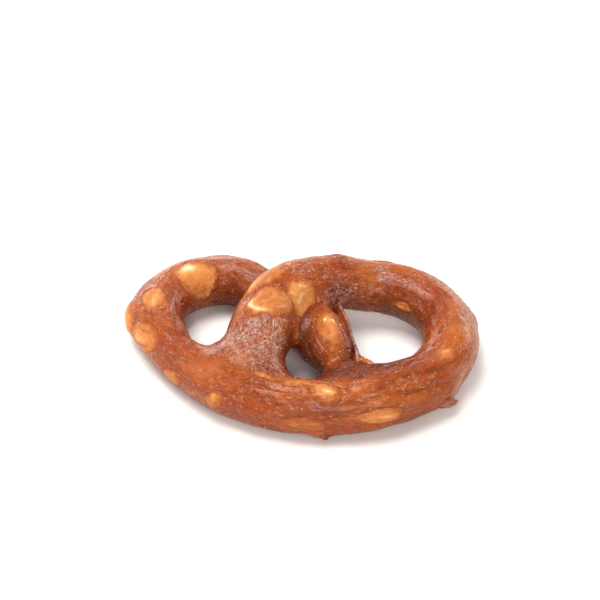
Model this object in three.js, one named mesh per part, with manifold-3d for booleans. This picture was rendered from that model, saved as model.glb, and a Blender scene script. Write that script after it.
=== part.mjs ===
// A dried-meat chew: one rope of meat tied into a pretzel, with pale flakes pressed into its skin.
// Millimetres, +Z up. The underside lies on Z = 0, and the middle of the outline is on the Z axis.

import * as THREE from 'three';
import { mergeVertices } from 'three/addons/utils/BufferGeometryUtils.js';
import Module from 'manifold-3d';

const wasm = await Module();
wasm.setup();

// ---- Driving dimensions ----

// The two lobes and the wide front bend are arcs seen from above. Angles are in degrees from +X, and
// heights (of the rope's middle) and thicknesses run evenly from an arc's first station to its last.
const RIGHT_LOBE = {
  centre: [15.7, 3.4], radii: [17.6, 17.3], angles: [104, -36], spans: 5,
  heights: [8.4, 5.9], thicknesses: [12.0, 12.6],
};
const FRONT_BEND = {
  centre: [2.1, 15.2], radii: [35.6, 35.6], angles: [306, 236], spans: 4,
  heights: [5.9, 5.9], thicknesses: [12.8, 12.4],
};
const LEFT_LOBE = {
  centre: [-20.0, 6.4], radii: [13.6, 13.6], angles: [214, 52], spans: 5,
  heights: [5.9, 5.6], thicknesses: [12.2, 11.2],
};

// The two arms cross behind the front bend: x, y, height of the rope's middle, thickness.
const OVER_ARM = [
  [-10.0, -14.8, 8.6, 12.0],
  [-9.0, -7.4, 10.4, 13.4],
  [-7.6, 1.6, 12.2, 13.4],
  [-4.0, 9.6, 13.0, 12.8],
  [2.6, 15.8, 11.2, 12.2],
];
const UNDER_ARM = [
  [-3.1, 9.8, 5.6, 11.6],
  [4.0, 1.8, 6.8, 12.2],
  [8.0, -6.2, 7.4, 10.4],
  [9.8, -13.3, 7.4, 7.6],
];

// The rope is rolled in two lengths that meet in the front bend, the second slipped inside the first.
const LAP_PLACE = 120.0; // from the over arm's end, along the rope
const LAP_OVERLAP = 8.0;
const LAP_SLIMMING = 0.98;

const RING_SIDES = 18;
const RING_STEP = 2.6;
const END_RINGS = 3;
const END_BLUNTNESS = 0.55; // an end's depth as a share of its radius
const TRAY = { side: 120, depth: 10 }; // the flat tray that the underside dried against

// Flakes: place along the rope, degrees round it from the top, length, width, degrees turned on the skin.
const FLAKES = {
  flake_left_disc: [180.2, 37, 12.0, 9.2, 8],
  flake_left_round: [165.2, -10, 6.6, 5.0, 0],
  flake_left_side: [157.4, -70, 6.6, 6.2, 0],
  flake_left_edge: [166.0, -92, 8.4, 5.4, -8],
  flake_left_front: [146.3, -94, 6.6, 3.8, -20],
  flake_crossing_oval: [14.4, 15, 11.0, 7.2, 68],
  flake_crossing_long: [19.6, -31, 9.2, 3.6, 12],
  flake_crossing_streaked: [23.8, 68, 8.4, 7.0, -38],
  flake_front_sliver: [119.6, -3, 6.0, 2.4, 0],
  flake_front_bright: [113.6, -19, 6.6, 4.2, 28],
  flake_front_right: [103.2, -86, 8.6, 3.6, 4],
  flake_front_low: [116.8, -93, 10.4, 3.4, 6],
  flake_front_left: [135.0, -84, 4.6, 3.4, -75],
  flake_foot_sliver: [126.8, 6, 4.6, 1.8, 0],
  flake_right_front: [85.0, -20, 4.2, 4.2, 0],
  flake_right_inner: [58.0, 79, 4.2, 2.0, 50],
  flake_under_arm: [225.3, -12, 6.4, 4.4, -30],
  flake_back_right_high: [48.5, -66, 7.2, 4.6, 12],
  flake_back_right_low: [57.5, -98, 6.0, 5.0, -25],
  flake_right_edge: [68.5, -90, 7.6, 4.8, 16],
  flake_back_left_wide: [186.5, -76, 8.8, 6.0, -10],
  flake_back_left_small: [177.0, -100, 5.4, 4.2, 30],
  flake_back_crossing: [31.5, -84, 6.2, 4.4, 35],
  flake_inner_front: [111.5, 92, 6.4, 3.8, -12],
  flake_inner_left: [137.5, 88, 5.6, 3.4, 18],
};
const FLAKE_PROUD = 0.5;
const FLAKE_DEPTH = 1.1;
const POCKET_GAP = 0.3;
const FLAKE_SEGMENTS = 12;
const FLAKE_RINGS = 5;

const MEAT = { color: 0xa65a38, roughness: 0.45, metalness: 0.0 };
const FLAKE = { color: 0xd98f55, roughness: 0.5, metalness: 0.0 };

// ---- The rope's route ----

const UP = new THREE.Vector3(0, 0, 1);
const { clamp, degToRad, lerp, smoothstep } = THREE.MathUtils;

function arcStations({ centre, radii, angles, spans, heights, thicknesses }) {
  return Array.from({ length: spans + 1 }, (_, index) => {
    const share = index / spans;
    const angle = degToRad(lerp(angles[0], angles[1], share));
    return [
      centre[0] + radii[0] * Math.cos(angle),
      centre[1] + radii[1] * Math.sin(angle),
      lerp(heights[0], heights[1], share),
      lerp(thicknesses[0], thicknesses[1], share),
    ];
  });
}

const stations = [
  ...OVER_ARM,
  ...arcStations(RIGHT_LOBE),
  ...arcStations(FRONT_BEND),
  ...arcStations(LEFT_LOBE),
  ...UNDER_ARM,
];
const route = new THREE.CatmullRomCurve3(stations.map(([x, y, z]) => new THREE.Vector3(x, y, z)));
route.arcLengthDivisions = 1200;
const ROUTE_LENGTH = route.getLength();

// The rope's middle, radius and cross directions at a distance from the over arm's end.
function ropeAt(distance) {
  const share = clamp(distance / ROUTE_LENGTH, 0, 1);
  const along = route.getTangentAt(share);
  const side = new THREE.Vector3().crossVectors(along, UP).normalize();
  const place = route.getUtoTmapping(share) * (stations.length - 1);
  const before = Math.min(Math.floor(place), stations.length - 2);
  const blend = smoothstep(place - before, 0, 1);
  return {
    middle: route.getPointAt(share),
    along,
    side,
    top: new THREE.Vector3().crossVectors(side, along),
    radius: lerp(stations[before][3], stations[before + 1][3], blend) / 2,
  };
}

// A point above or below the skin, at an angle in radians from the rope's top.
function skinPoint(distance, angle, height) {
  const rope = ropeAt(distance);
  const reach = rope.radius + height;
  return rope.middle.clone()
    .addScaledVector(rope.top, reach * Math.cos(angle))
    .addScaledVector(rope.side, reach * Math.sin(angle));
}

// ---- Making and joining shapes ----

// Moves every vertex of a geometry to where the function sends it.
function reshape(geometry, move) {
  const place = geometry.attributes.position;
  for (let index = 0; index < place.count; index += 1) {
    const moved = move(place.getX(index), place.getY(index), place.getZ(index));
    place.setXYZ(index, moved.x, moved.y, moved.z);
  }
  return geometry;
}

function toSolid(geometry) {
  geometry.deleteAttribute('normal');
  geometry.deleteAttribute('uv');
  const merged = mergeVertices(geometry, 1e-4);
  const corners = merged.index.array;
  const triangles = [];
  for (let first = 0; first < corners.length; first += 3) {
    const [a, b, c] = corners.slice(first, first + 3);
    if (a !== b && b !== c && c !== a) triangles.push(a, b, c);
  }
  return new wasm.Manifold(new wasm.Mesh({
    numProp: 3,
    vertProperties: new Float32Array(merged.attributes.position.array),
    triVerts: new Uint32Array(triangles),
  }));
}

function toGeometry(solid) {
  const { vertProperties, triVerts } = solid.getMesh();
  const geometry = new THREE.BufferGeometry();
  geometry.setAttribute('position', new THREE.BufferAttribute(vertProperties, 3));
  geometry.setIndex(new THREE.BufferAttribute(triVerts, 1));
  geometry.computeVertexNormals();
  return geometry;
}

// A capsule bent onto the route, with blunt rounded ends.
function ropeLength(start, end, slimming) {
  const steps = Math.round((end - start) / RING_STEP);
  const capsule = new THREE.CapsuleGeometry(1, 1, END_RINGS, RING_SIDES, steps);
  return toSolid(reshape(capsule, (x, y, z) => {
    const straight = clamp(y, -0.5, 0.5);
    const rope = ropeAt(lerp(start, end, straight + 0.5));
    const radius = rope.radius * slimming;
    return rope.middle.clone()
      .addScaledVector(rope.side, x * radius)
      .addScaledVector(rope.along, (y - straight) * radius * END_BLUNTNESS)
      .addScaledVector(rope.top, z * radius);
  }));
}

// A lens that follows the rope's skin. The gap widens it into the pocket that it sits in.
function flakeLens([distance, degrees, length, width, turnDegrees], gap) {
  const turn = degToRad(turnDegrees);
  const radius = ropeAt(distance).radius;
  const lens = new THREE.SphereGeometry(1, FLAKE_SEGMENTS, FLAKE_RINGS);
  return reshape(lens, (x, y, z) => {
    const lengthwise = x * (length / 2 + gap);
    const across = z * (width / 2 + gap);
    const shift = lengthwise * Math.cos(turn) - across * Math.sin(turn);
    const sweep = (lengthwise * Math.sin(turn) + across * Math.cos(turn)) / radius;
    const height = y * ((y > 0 ? FLAKE_PROUD : FLAKE_DEPTH) + gap);
    return skinPoint(distance + shift, degToRad(degrees) + sweep, height);
  });
}

// ---- The object ----

function makeRope() {
  const tray = new THREE.BoxGeometry(TRAY.side, TRAY.side, TRAY.depth);
  tray.translate(0, 0, -TRAY.depth / 2);
  let rope = ropeLength(0, LAP_PLACE, 1)
    .add(ropeLength(LAP_PLACE - LAP_OVERLAP, ROUTE_LENGTH, LAP_SLIMMING))
    .subtract(toSolid(tray));
  for (const flake of Object.values(FLAKES)) {
    rope = rope.subtract(toSolid(flakeLens(flake, POCKET_GAP)));
  }
  return toGeometry(rope);
}

const pretzel = new THREE.Group();

const rope = new THREE.Mesh(makeRope(), new THREE.MeshStandardMaterial(MEAT));
rope.name = 'pretzel_rope';
pretzel.add(rope);

for (const [name, flake] of Object.entries(FLAKES)) {
  const mesh = new THREE.Mesh(flakeLens(flake, 0), new THREE.MeshStandardMaterial(FLAKE));
  mesh.name = name;
  pretzel.add(mesh);
}

const outline = new THREE.Box3().setFromObject(pretzel, true);
const middle = outline.getCenter(new THREE.Vector3());
pretzel.position.set(-middle.x, -middle.y, -outline.min.z);

export default pretzel;
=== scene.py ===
"""The looks of a dried-meat chew: one rope of meat tied into a pretzel, with pale flakes in its skin.

Shapes are worked out in millimetres and turned into metres when a mesh is made.
"""

import logging
import math
from dataclasses import dataclass
from enum import Enum
from typing import Sequence

import bpy
import numpy as np
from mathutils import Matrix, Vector


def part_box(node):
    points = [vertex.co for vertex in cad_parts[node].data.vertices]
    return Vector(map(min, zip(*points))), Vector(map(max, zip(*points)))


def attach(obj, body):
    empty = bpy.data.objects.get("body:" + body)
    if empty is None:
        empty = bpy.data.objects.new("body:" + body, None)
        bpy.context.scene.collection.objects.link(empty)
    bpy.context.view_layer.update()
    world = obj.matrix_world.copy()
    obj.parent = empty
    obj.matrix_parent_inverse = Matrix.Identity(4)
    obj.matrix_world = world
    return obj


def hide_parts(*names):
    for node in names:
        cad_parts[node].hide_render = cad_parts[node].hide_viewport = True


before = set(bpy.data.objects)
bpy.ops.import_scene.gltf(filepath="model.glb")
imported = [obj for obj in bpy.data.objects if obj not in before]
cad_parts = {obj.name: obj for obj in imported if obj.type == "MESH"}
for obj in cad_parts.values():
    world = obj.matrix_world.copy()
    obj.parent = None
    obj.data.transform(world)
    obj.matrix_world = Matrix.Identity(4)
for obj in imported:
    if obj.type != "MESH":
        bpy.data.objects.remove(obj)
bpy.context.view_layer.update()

LOG = logging.getLogger("pretzel")
MM = 0.001
BODY = "root"
TINY = 1e-9


# ---------------------------------------------------------------- small mathematics


def smooth_step(low: float, high: float, value: np.ndarray) -> np.ndarray:
    """Eased rise from 0 at low to 1 at high, or a fall where low is above high.

    Args:
        low: Value where the result is 0.
        high: Value where the result is 1.
        value: Where to work it out.

    Returns:
        Numbers from 0 to 1.
    """
    share = np.clip((value - low) / (high - low), 0.0, 1.0)
    return share * share * (3.0 - 2.0 * share)


def unit(vectors: np.ndarray) -> np.ndarray:
    """Rows scaled to length 1."""
    return vectors / np.maximum(np.linalg.norm(vectors, axis=-1, keepdims=True), TINY)


def band(value: np.ndarray, middle: float, reach: float) -> np.ndarray:
    """Smooth ridge of height 1 where a value is at its middle."""
    return np.exp(-(((value - middle) / reach) ** 2))


def bump(
    x: np.ndarray, y: np.ndarray, middle: tuple[float, float], reach: tuple[float, float]
) -> np.ndarray:
    """Smooth bump of height 1 at a middle, as wide each way as its reach."""
    return band(x, middle[0], reach[0]) * band(y, middle[1], reach[1])


def srgb(red: int, green: int, blue: int) -> tuple[float, float, float, float]:
    """Turns a display colour into a linear one.

    Args:
        red: Red, from 0 to 255.
        green: Green, from 0 to 255.
        blue: Blue, from 0 to 255.

    Returns:
        Linear red, green and blue, and an alpha of 1.
    """
    shares = [value / 255 for value in (red, green, blue)]
    linear = [s / 12.92 if s <= 0.04045 else ((s + 0.055) / 1.055) ** 2.4 for s in shares]
    return (*linear, 1.0)


class Noise:
    """Smooth seeded noise in three dimensions, from about -1 to 1."""

    SIZE = 256
    LAYER_SHIFT = 17.3
    STRENGTH = 1.6

    def __init__(self, seed: int) -> None:
        """Shuffles the lattice.

        Args:
            seed: Fixes the pattern.
        """
        source = np.random.default_rng(seed)
        order = source.permutation(self.SIZE)
        self.order = np.concatenate([order, order])
        self.slopes = unit(source.normal(size=(self.SIZE, 3)))

    def at(self, points: np.ndarray, layers: int = 1) -> np.ndarray:
        """Value at each point, with finer layers of half the height added.

        Args:
            points: Rows of x, y, z, in lattice steps.
            layers: Number of layers.

        Returns:
            One number for each row.
        """
        total = np.zeros(len(points))
        for layer in range(layers):
            total += self._layer(points * 2.0**layer + self.LAYER_SHIFT * layer) / 2.0**layer
        return total

    def _layer(self, points: np.ndarray) -> np.ndarray:
        """One layer of gradient noise, scaled so that most values fill -1 to 1.

        Args:
            points: Rows of x, y, z, in lattice steps.

        Returns:
            One number for each row.
        """
        cell = np.floor(points).astype(int)
        inside = points - cell
        ease = inside**3 * (inside * (inside * 6 - 15) + 10)
        total = np.zeros(len(points))
        for corner in np.ndindex(2, 2, 2):
            at = (cell + corner) % self.SIZE
            key = self.order[self.order[self.order[at[:, 0]] + at[:, 1]] + at[:, 2]]
            rise = np.einsum("ij,ij->i", self.slopes[key], inside - corner)
            total += rise * np.prod(np.where(corner, ease, 1 - ease), axis=1)
        return total * self.STRENGTH


def spline(stations: np.ndarray, steps: int) -> np.ndarray:
    """Centripetal spline through stations of x, y, z and a size, with the size eased between them.

    Args:
        stations: Rows of x, y, z, size.
        steps: Number of steps from one station to the next.

    Returns:
        Rows of x, y, z, size.
    """
    place = stations[:, :3]
    place = np.vstack([2 * place[0] - place[1], place, 2 * place[-1] - place[-2]])
    pieces = []
    for index in range(len(stations) - 1):
        before, start, end, after = place[index : index + 4]
        gaps = [np.linalg.norm(q - p) ** 0.5 for p, q in ((before, start), (start, end), (end, after))]
        leave = (start - before) / gaps[0] - (end - before) / (gaps[0] + gaps[1])
        leave = (leave + (end - start) / gaps[1]) * gaps[1]
        arrive = (end - start) / gaps[1] - (after - start) / (gaps[1] + gaps[2])
        arrive = (arrive + (after - end) / gaps[2]) * gaps[1]
        share = np.linspace(0, 1, steps, endpoint=index == len(stations) - 2)[:, None]
        cubic = 2 * start - 2 * end + leave + arrive
        square = -3 * start + 3 * end - 2 * leave - arrive
        points = start + leave * share + square * share**2 + cubic * share**3
        ease = share * share * (3 - 2 * share)
        size = stations[index, 3] * (1 - ease) + stations[index + 1, 3] * ease
        pieces.append(np.hstack([points, size]))
    return np.vstack(pieces)


# ---------------------------------------------------------------- the rope's route


@dataclass(frozen=True)
class Bend:
    """A bend of the rope, an arc seen from above; each pair runs evenly from first station to last."""

    centre: tuple[float, float]
    radii: tuple[float, float]
    degrees: tuple[float, float]
    spans: int
    heights: tuple[float, float]
    thicknesses: tuple[float, float]

    def stations(self) -> list[tuple[float, float, float, float]]:
        """Works out the bend's stations.

        Returns:
            Rows of x, y, height of the rope's middle, and thickness.
        """
        shares = np.linspace(0, 1, self.spans + 1)
        turn = np.radians(np.interp(shares, (0, 1), self.degrees))
        return list(
            zip(
                self.centre[0] + self.radii[0] * np.cos(turn),
                self.centre[1] + self.radii[1] * np.sin(turn),
                np.interp(shares, (0, 1), self.heights),
                np.interp(shares, (0, 1), self.thicknesses),
            )
        )


@dataclass(frozen=True)
class PretzelPlan:
    """Driving dimensions of the rope: two lobes, the front bend, and two arms.

    An arm's rows are x, y, height of the rope's middle, and thickness.
    """

    over_arm: tuple = (
        (-10.2, -14.0, 7.0, 13.0),
        (-8.8, -7.4, 10.3, 14.2),
        (-7.6, 1.6, 12.2, 13.4),
        (-4.0, 9.6, 13.0, 12.8),
        (2.6, 15.8, 11.2, 12.2),
    )
    right_lobe: Bend = Bend((15.7, 3.4), (17.6, 17.3), (104, -36), 5, (8.4, 5.9), (12.0, 12.6))
    front_bend: Bend = Bend((2.1, 15.2), (35.6, 35.6), (306, 236), 4, (5.9, 5.9), (12.8, 12.4))
    left_lobe: Bend = Bend((-20.0, 6.4), (13.6, 13.6), (214, 52), 5, (5.9, 5.6), (12.2, 11.2))
    under_arm: tuple = (
        (-3.1, 9.8, 5.6, 11.6),
        (4.0, 1.8, 6.8, 12.2),
        (7.2, -3.6, 7.6, 11.0),
        (10.6, -8.6, 5.8, 8.0),
        (13.0, -13.4, 6.2, 7.6),
    )

    def stations(self) -> np.ndarray:
        """Joins the stations of the arms and the bends.

        Returns:
            Rows of x, y, height and thickness, from the over arm's end to the under arm's end.
        """
        bends = [self.right_lobe, self.front_bend, self.left_lobe]
        middle = [station for bend in bends for station in bend.stations()]
        return np.array([*self.over_arm, *middle, *self.under_arm], float)


@dataclass(frozen=True)
class Weld:
    """A ball round a place where stretches of the rope run into each other more softly, or less.

    The widening is added to the width, in millimetres, over which they do; a negative one sharpens them.
    """

    centre: tuple[float, float, float]
    reach: float
    widening: float


WELDS = (
    Weld((-0.5, -1.0, 9.0), 7.0, 4.2),
    Weld((5.5, 9.0, 10.5), 7.5, 4.2),
    Weld((13.5, -12.0, 7.5), 6.5, 4.2),
    Weld((-9.0, -17.0, 12.0), 9.0, 5.7),
    Weld((-15.0, -10.6, 9.5), 4.5, -4.0),
)


@dataclass(frozen=True)
class SkinReading:
    """Where points lie on the rope: along the nearest stretch, round it, and near the fold with another.

    The fold says how much two stretches share a point's skin, and the crease how sharply they meet there.
    """

    points: np.ndarray
    distance: np.ndarray
    angle: np.ndarray
    radius: np.ndarray
    gap: np.ndarray
    outward: np.ndarray
    fold: np.ndarray
    crease: np.ndarray
    rope_space: np.ndarray


class RopeRoute:
    """The smooth line down the rope's middle, with its thickness and its top and side directions."""

    STEP = 0.25
    SEARCH_EVERY = 4
    SEARCH_ROUNDS = 2
    SPAN_STEPS = 60
    BLOCK = 20000
    OWN_STRETCH = 18.0
    END_BLUNTNESS = 0.55
    FOOT_LENGTH = 12.0
    FOOT_SOFTNESS = 6.0
    CROSSING_SOFTNESS = 1.3

    def __init__(self, plan: PretzelPlan) -> None:
        """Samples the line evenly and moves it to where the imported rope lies.

        Args:
            plan: The stations' source.
        """
        line = spline(plan.stations(), self.SPAN_STEPS)
        run = np.concatenate([[0], np.cumsum(np.linalg.norm(np.diff(line[:, :3], axis=0), axis=1))])
        count = int(round(run[-1] / self.STEP)) + 1
        self.distance = np.linspace(0, run[-1], count)
        self.points = np.stack([np.interp(self.distance, run, line[:, k]) for k in range(3)], 1)
        self.radius = np.interp(self.distance, run, line[:, 3]) / 2
        self.length = float(run[-1])
        self.along = unit(np.gradient(self.points, axis=0))
        self.side = unit(np.cross(self.along, (0.0, 0.0, 1.0)))
        self.top = np.cross(self.side, self.along)
        self.shift = self._shift_to_frame()
        self.points += self.shift

    def _shift_to_frame(self) -> np.ndarray:
        """Compares the route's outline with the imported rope's box.

        Returns:
            Move from the plan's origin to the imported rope's place, in millimetres.
        """
        reach = self.radius[:, None]
        own = ((self.points - reach).min(0) + (self.points + reach).max(0)) / 2
        low, high = (np.array(corner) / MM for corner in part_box("pretzel_rope"))
        shift = (low + high) / 2 - own
        shift[2] = 0.0
        return shift

    def _between(self, values: np.ndarray, distance: np.ndarray) -> np.ndarray:
        """Reads the line's values at any distances along it.

        Args:
            values: A number or a row of three for each step of the line.
            distance: Distances along the rope, in millimetres.

        Returns:
            A number or a row for each distance.
        """
        columns = values.reshape(len(values), -1).T
        found = np.stack([np.interp(distance, self.distance, column) for column in columns], -1)
        return found if values.ndim > 1 else found[..., 0]

    def skin(self, distance: np.ndarray, angle: np.ndarray, height: np.ndarray) -> np.ndarray:
        """Points over the rope's smooth skin.

        Args:
            distance: Distance from the over arm's end, in millimetres.
            angle: Angle round the rope from its top, in radians.
            height: Height over the skin, in millimetres.

        Returns:
            Rows of x, y, z, in millimetres.
        """
        reach = self._between(self.radius, distance) + height
        top, side = self._between(self.top, distance), self._between(self.side, distance)
        across = np.cos(angle)[..., None] * top + np.sin(angle)[..., None] * side
        return self._between(self.points, distance) + reach[..., None] * across

    def radii(self, distance: np.ndarray | float) -> np.ndarray:
        """Radius of the rope at distances along it."""
        return np.interp(distance, self.distance, self.radius)

    def read(self, points: np.ndarray) -> SkinReading:
        """Says where each point lies on the rope.

        Args:
            points: Rows of x, y, z, in millimetres.

        Returns:
            The reading of every row.
        """
        blocks = [self._read_block(points[i : i + self.BLOCK]) for i in range(0, len(points), self.BLOCK)]
        return SkinReading(*(np.concatenate(column) for column in zip(*blocks)))

    def _read_block(self, points: np.ndarray) -> tuple[np.ndarray, ...]:
        """Reads a few thousand points.

        Args:
            points: Rows of x, y, z, in millimetres.

        Returns:
            The reading's columns, in the order of SkinReading's fields.
        """
        line, place = self.points[:: self.SEARCH_EVERY], self.distance[:: self.SEARCH_EVERY]
        squares = (points**2).sum(1)[:, None] + (line**2).sum(1)[None] - 2 * points @ line.T
        gaps = np.sqrt(np.maximum(squares, 0)) - self.radius[None, :: self.SEARCH_EVERY]
        first = gaps.argmin(1)
        gaps[np.abs(place[first][:, None] - place[None]) < self.OWN_STRETCH] = np.inf
        second = gaps.argmin(1)
        near_gap, near_out, near_place, rope_space = self._on_stretch(points, place[first])
        next_gap, next_out, next_place, _ = self._on_stretch(points, place[second])
        softness = self._fold_softness(near_place, next_place, points)
        fold = np.clip(softness - np.abs(near_gap - next_gap), 0, None) / softness
        nearer = (near_gap <= next_gap)[:, None]
        share = fold[:, None] / 2
        mostly_near = near_out * (1 - share) + next_out * share
        mostly_next = near_out * share + next_out * (1 - share)
        outward = unit(np.where(nearer, mostly_near, mostly_next))
        gap = np.minimum(near_gap, next_gap) - fold**2 * softness / 4
        angle = np.arctan2(rope_space[:, 2], rope_space[:, 1])
        radius = self._between(self.radius, near_place)
        crease = fold * self.CROSSING_SOFTNESS / softness
        return points, near_place, angle, radius, gap, outward, fold, crease, rope_space

    def _on_stretch(self, points: np.ndarray, place: np.ndarray) -> tuple[np.ndarray, ...]:
        """Measures points against the stretch of rope near a distance along it.

        Args:
            points: Rows of x, y, z, in millimetres.
            place: The distance for each point.

        Returns:
            Heights over the skin, outward directions, nearest distances, and rows of the place along
            the rope and past its end, upwards and sideways.
        """
        reach = self.STEP * self.SEARCH_EVERY
        low, high = np.maximum(place - reach, 0), np.minimum(place + reach, self.length)
        for _ in range(self.SEARCH_ROUNDS):
            offset = points - self._between(self.points, place)
            along = unit(self._between(self.along, place))
            place = np.clip(place + np.einsum("ij,ij->i", offset, along), low, high)
        offset = points - self._between(self.points, place)
        slide = np.einsum("ij,ij->i", offset, along)
        across = offset - along * slide[:, None]
        radial = across + along * (slide / self.END_BLUNTNESS)[:, None]
        size = np.linalg.norm(radial, axis=1)
        upwards = np.einsum("ij,ij->i", across, self._between(self.top, place))
        sideways = np.einsum("ij,ij->i", across, self._between(self.side, place))
        gap = size - self._between(self.radius, place)
        outward = radial / np.maximum(size, TINY)[:, None]
        return gap, outward, place, np.column_stack([place + slide, upwards, sideways])

    def _fold_softness(self, first: np.ndarray, second: np.ndarray, points: np.ndarray) -> np.ndarray:
        """Width over which two stretches run into each other, wider at an arm's foot and at the welds.

        Args:
            first: Distance along the rope on the nearest stretch.
            second: Distance along the rope on the next nearest stretch.
            points: Rows of x, y, z, in millimetres.

        Returns:
            Widths in millimetres.
        """
        to_end = np.minimum.reduce([first, second, self.length - first, self.length - second])
        foot = smooth_step(self.FOOT_LENGTH, self.FOOT_LENGTH / 3, to_end)
        softness = self.CROSSING_SOFTNESS + (self.FOOT_SOFTNESS - self.CROSSING_SOFTNESS) * foot
        for weld in WELDS:
            near = np.exp(-((points - weld.centre) ** 2).sum(1) / weld.reach**2)
            softness = softness + weld.widening * near
        return softness


# ---------------------------------------------------------------- places on the skin


@dataclass(frozen=True)
class SkinPlace:
    """An oval place on the skin: distance along the rope, degrees round it, length, width and turn."""

    distance: float
    degrees: float
    length: float
    width: float
    turn: float

    def spread(self, reading: SkinReading) -> tuple[np.ndarray, np.ndarray]:
        """Offsets of points from the place's middle, as shares of its half length and half width.

        Args:
            reading: Where the points lie on the rope.

        Returns:
            The shares lengthwise and across.
        """
        ahead = reading.distance - self.distance
        around = (reading.angle - math.radians(self.degrees) + math.pi) % (2 * math.pi) - math.pi
        around = around * reading.radius
        cos, sin = math.cos(math.radians(self.turn)), math.sin(math.radians(self.turn))
        lengthwise = (ahead * cos + around * sin) / (self.length / 2)
        across = (around * cos - ahead * sin) / (self.width / 2)
        return lengthwise, across

    def points(
        self, route: RopeRoute, lengthwise: np.ndarray, across: np.ndarray
    ) -> tuple[np.ndarray, np.ndarray]:
        """Distances and angles of spots given as shares of the half length and half width.

        Args:
            route: The rope.
            lengthwise: Shares of the half length.
            across: Shares of the half width.

        Returns:
            Distances along the rope in millimetres and angles round it in radians.
        """
        forward, sideways = lengthwise * self.length / 2, across * self.width / 2
        cos, sin = math.cos(math.radians(self.turn)), math.sin(math.radians(self.turn))
        sweep = (forward * sin + sideways * cos) / route.radii(self.distance)
        return self.distance + forward * cos - sideways * sin, math.radians(self.degrees) + sweep


@dataclass(frozen=True)
class Ball:
    """A round place about a point of x, y and z, wherever the skin passes through it."""

    centre: tuple[float, float, float]
    reach: float

    def spread(self, reading: SkinReading) -> tuple[np.ndarray, np.ndarray]:
        """Distances of points from its middle, in the form that SkinPlace gives them.

        Args:
            reading: Where the points lie on the rope.

        Returns:
            The distances as shares of its reach, and zeros.
        """
        far = np.linalg.norm(reading.points - self.centre, axis=1) / self.reach
        return far, np.zeros_like(far)


@dataclass(frozen=True)
class Swell:
    """A soft lump of the skin, or a dent where its height is negative, in millimetres."""

    place: SkinPlace
    height: float

    FALL = 1.4

    def over(self, reading: SkinReading) -> np.ndarray:
        """Height that it adds at points read on the rope."""
        lengthwise, across = self.place.spread(reading)
        return self.height * np.exp(-self.FALL * (lengthwise**2 + across**2))


SWELLS = (
    Swell(SkinPlace(166.0, -90, 13, 11, 0), 0.8),
    Swell(SkinPlace(150.0, 75, 26, 15, 0), -1.9),
    Swell(SkinPlace(150.0, 42, 10, 10, 0), -1.0),
    Swell(SkinPlace(117.5, 58, 15, 10, 0), -1.1),
    Swell(SkinPlace(101.0, 55, 17, 11, 0), 0.9),
    Swell(SkinPlace(232.0, 108, 11, 7, 0), -1.1),
    Swell(SkinPlace(114.0, -128, 6, 5, 0), 0.9),
    Swell(SkinPlace(83.0, -85, 7, 8, 0), -0.7),
    Swell(SkinPlace(88.0, -100, 8, 7, 0), 0.5),
    Swell(SkinPlace(38.5, -32, 8, 8, 0), 0.5),
    Swell(SkinPlace(135.0, -10, 9, 8, 0), 0.35),
    Swell(SkinPlace(222.0, -20, 9, 9, 0), 0.5),
    Swell(SkinPlace(90.5, -30, 12, 1.6, 12), -0.4),
    Swell(SkinPlace(98.5, -22, 10, 1.4, -6), -0.35),
    Swell(SkinPlace(90.0, -15, 12, 2.6, 12), 0.3),
    Swell(SkinPlace(95.0, -38, 13, 2.2, 8), 0.3),
    Swell(SkinPlace(96.5, -52, 13, 1.5, 10), -0.35),
    Swell(SkinPlace(89.0, -62, 12, 1.5, 16), -0.3),
    Swell(SkinPlace(106.5, -44, 11, 1.4, -4), -0.3),
    Swell(SkinPlace(126.0, -30, 13, 1.5, 4), -0.22),
    Swell(SkinPlace(124.0, -58, 15, 1.5, -3), -0.22),
)


class Tint(Enum):
    """What a patch of the skin shows: a pale bloom, in places with painted rim highlights, an amber glow,
    or painted shade.
    """

    BLOOM = "bloom_and_sheen"
    GLOW = "glow"
    # Painted shade: darker skin where shade falls, in furrows, hollows and on the strands' inner sides.
    PAINTED_SHADE = "dark_tone_and_shade"


@dataclass(frozen=True)
class Patch:
    """A soft patch of the skin, and how strongly a tint shows there."""

    place: SkinPlace | Ball
    strength: float


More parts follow.
